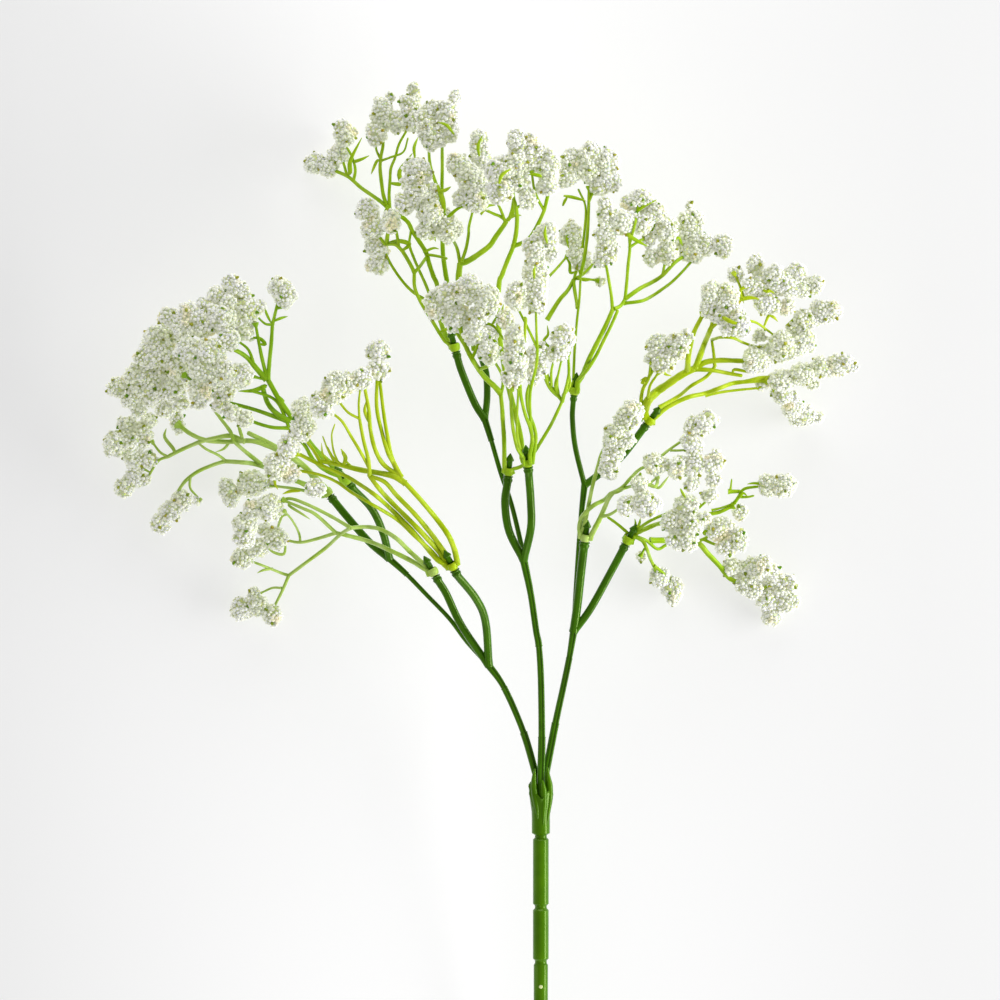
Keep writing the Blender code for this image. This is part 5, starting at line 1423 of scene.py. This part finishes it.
def florets(head, z, rng):
    """The round florets of one head: balls on an egg shape, and a few that fill its middle."""
    x, y, half_width, half_height, *lean = head
    radius = min(max(FLORET_SHARE * min(half_width, half_height), FLORET_RADIUS[0]), FLORET_RADIUS[1])
    size = Vector((half_width, half_height, min(half_width, half_height))) - Vector((1, 1, 1)) * radius
    turn = Matrix.Rotation(math.radians(lean[0] if lean else rng.uniform(-HEAD_LEAN, HEAD_LEAN)), 3, "Z")
    area = 4 * math.pi * ((size.x * size.y + size.x * size.z + size.y * size.z) / 3 + LEAST_AREA)
    count = max(LEAST_FLORETS, round(area / (FLORET_AREA * radius ** 2)))
    balls = []
    for i in range(count):
        height = 1 - 2 * (i + 0.5) / count
        angle = i * math.pi * GOLDEN_TURN + rng.uniform(-FLORET_TURN, FLORET_TURN)
        ring = math.sqrt(1 - height * height)
        way = Vector((ring * math.cos(angle), height, ring * math.sin(angle)))
        spot = Vector((way.x * size.x, way.y * size.y, way.z * size.z)) * rng.uniform(*FLORET_PLACES)
        balls.append((turn @ spot + Vector((x, y, z)), radius * rng.uniform(*FLORET_SIZES)))
    middle = max(min(half_width, half_height) * MIDDLE_SHARE, LEAST_MIDDLE)
    reach_x = max(half_width - middle - MIDDLE_MARGIN, 0)
    reach_y = max(half_height - middle - MIDDLE_MARGIN, 0)
    for share in (-1, 0, 1):
        balls.append((turn @ Vector((share * reach_x, share * reach_y, 0)) + Vector((x, y, z)), middle))
    return balls


def backing(node, rng):
    """Balls under the CAD node's surface, so that the flowers are as deep and as knobbly as it is."""
    shape = bmesh.new()
    shape.from_mesh(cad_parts[node].data)
    bmesh.ops.remove_doubles(shape, verts=shape.verts, dist=MERGE_DISTANCE)
    shell = BVHTree.FromBMesh(shape)
    balls = []
    for face in shape.faces:
        spot = face.calc_center_median()
        balls.append(((spot - face.normal * BACKING_DEPTH * MM - SHIFT) / MM, BACKING_RADIUS))
        if rng.random() < KNOB_SHARE:
            sunk = rng.uniform(*KNOB_DEPTHS)
            balls.append(((spot - face.normal * sunk * MM - SHIFT) / MM, rng.uniform(*KNOB_RADII)))
    shape.free()
    return balls, shell


def head_height(x, y, half_depth, shell, corners):
    """The height of a head's middle: just proud of the CAD node's upper side, or level with it."""
    top = shell.ray_cast(Vector((x, y, HIGH_ABOVE)) * MM + SHIFT, Vector((0, 0, -1)))[0]
    bottom = shell.ray_cast(Vector((x, y, FAR_BELOW)) * MM + SHIFT, Vector((0, 0, 1)))[0]
    if top is None or bottom is None:
        return depth(x, y, corners)
    return max((top.z + bottom.z) / MM / 2, top.z / MM + HEAD_PROUD - half_depth)


def make_blossoms(head_name, tree, surfaces, seed):
    """The flower heads of one CAD node, with every bead on them a small ball of its own, all in one mesh.
    """
    node = "blossoms_" + head_name
    rng = random.Random(seed)
    balls, shell = backing(node, rng)
    corners = corners_of([node])
    for head in HEADS[head_name]:
        z = head_height(head[0], head[1], min(head[2:4]), shell, corners)
        balls += florets(head, z, rng)
    lowest = min(corner.z for corner in corners)
    balls = [(Vector((p.x, p.y, max(p.z, lowest + r + TABLE_GAP))), r) for p, r in balls]
    mesh = bpy.data.meshes.new("florets")
    mesh.from_pydata([point * MM for point, radius in balls], [], [])
    sizes = mesh.attributes.new("floret_radius", "FLOAT", "POINT")
    sizes.data.foreach_set("value", [radius * MM for point, radius in balls])
    grown = grow("heads", mesh, tree, {
        "Voxel": CORE_VOXEL * MM, "Bead Diameter": BEAD_DIAMETER * MM, "Bead Spacing": BEAD_SPACING * MM,
        "Seed": seed, "Bead": surfaces["bead"], "Core": surfaces["core"], "Sepal": surfaces["sepal"]})
    finish_piece("beaded_" + head_name, [grown], node)


place_camera()
lay_paper()
light_studio()

# Dark glossy stem and arms, a paler gate mark, and a green of its own for each batch of sprays
# The first colour of each plastic is a painted shade down its grooves; only the arms' and the sprays' tubes
# have grooves, and the arms' shade is nearly black
stem_plastic = moulded_polyethylene("stem", "#2E4A00", "#3E6A00", "#4A7800", 0.22, 0.0)
arm_plastic = moulded_polyethylene("arm", "#081606", "#335E02", "#3E7004", 0.22, 0.0)
mark_plastic = moulded_polyethylene("gate_mark", "#9FB86A", "#C2D08A", "#D8E0A8", 0.5, 0.0)
spray_plastics = {
    "yellow": moulded_polyethylene("yellow_green", "#7F9C00", "#A6BE0A", "#BED030"),
    "green": moulded_polyethylene("leaf_green", "#527C04", "#7CA80E", "#98C02C"),
    "lime": moulded_polyethylene("lime_green", "#5F8A02", "#92B80C", "#ADCB30"),
    "pale": moulded_polyethylene("pale_green", "#7C9E28", "#A2C24C", "#BCD47A"),
}
# Under the beads the calyx is pale and nearly matt; its tips are green, some of them ochre
head_surfaces = {
    "bead": expanded_foam_bead(),
    "core": moulded_polyethylene("calyx", "#8FA84A", "#D0D89A", "#E0E4C0", 0.6, 0.8),
    "sepal": moulded_polyethylene("sepal", "#4E7F16", "#5E8F12", "#B8A83C", 0.5, 0.1),
}

sweep = sweep_tree()
make_stem(sweep, stem_plastic, mark_plastic)
dress_wire(drawn_steel_wire())
for arm_name, arm_data in ARMS.items():
    make_arm(arm_name, arm_data, sweep, arm_plastic)
wobble = random.Random(TWIG_SEED)
for spray_name, spray_data in SPRAYS.items():
    make_spray(spray_name, spray_data, sweep, spray_plastics[spray_data["colour"]], wobble)
coat = bead_tree()
for number, head_name in enumerate(HEADS):
    make_blossoms(head_name, coat, head_surfaces, number + 1)
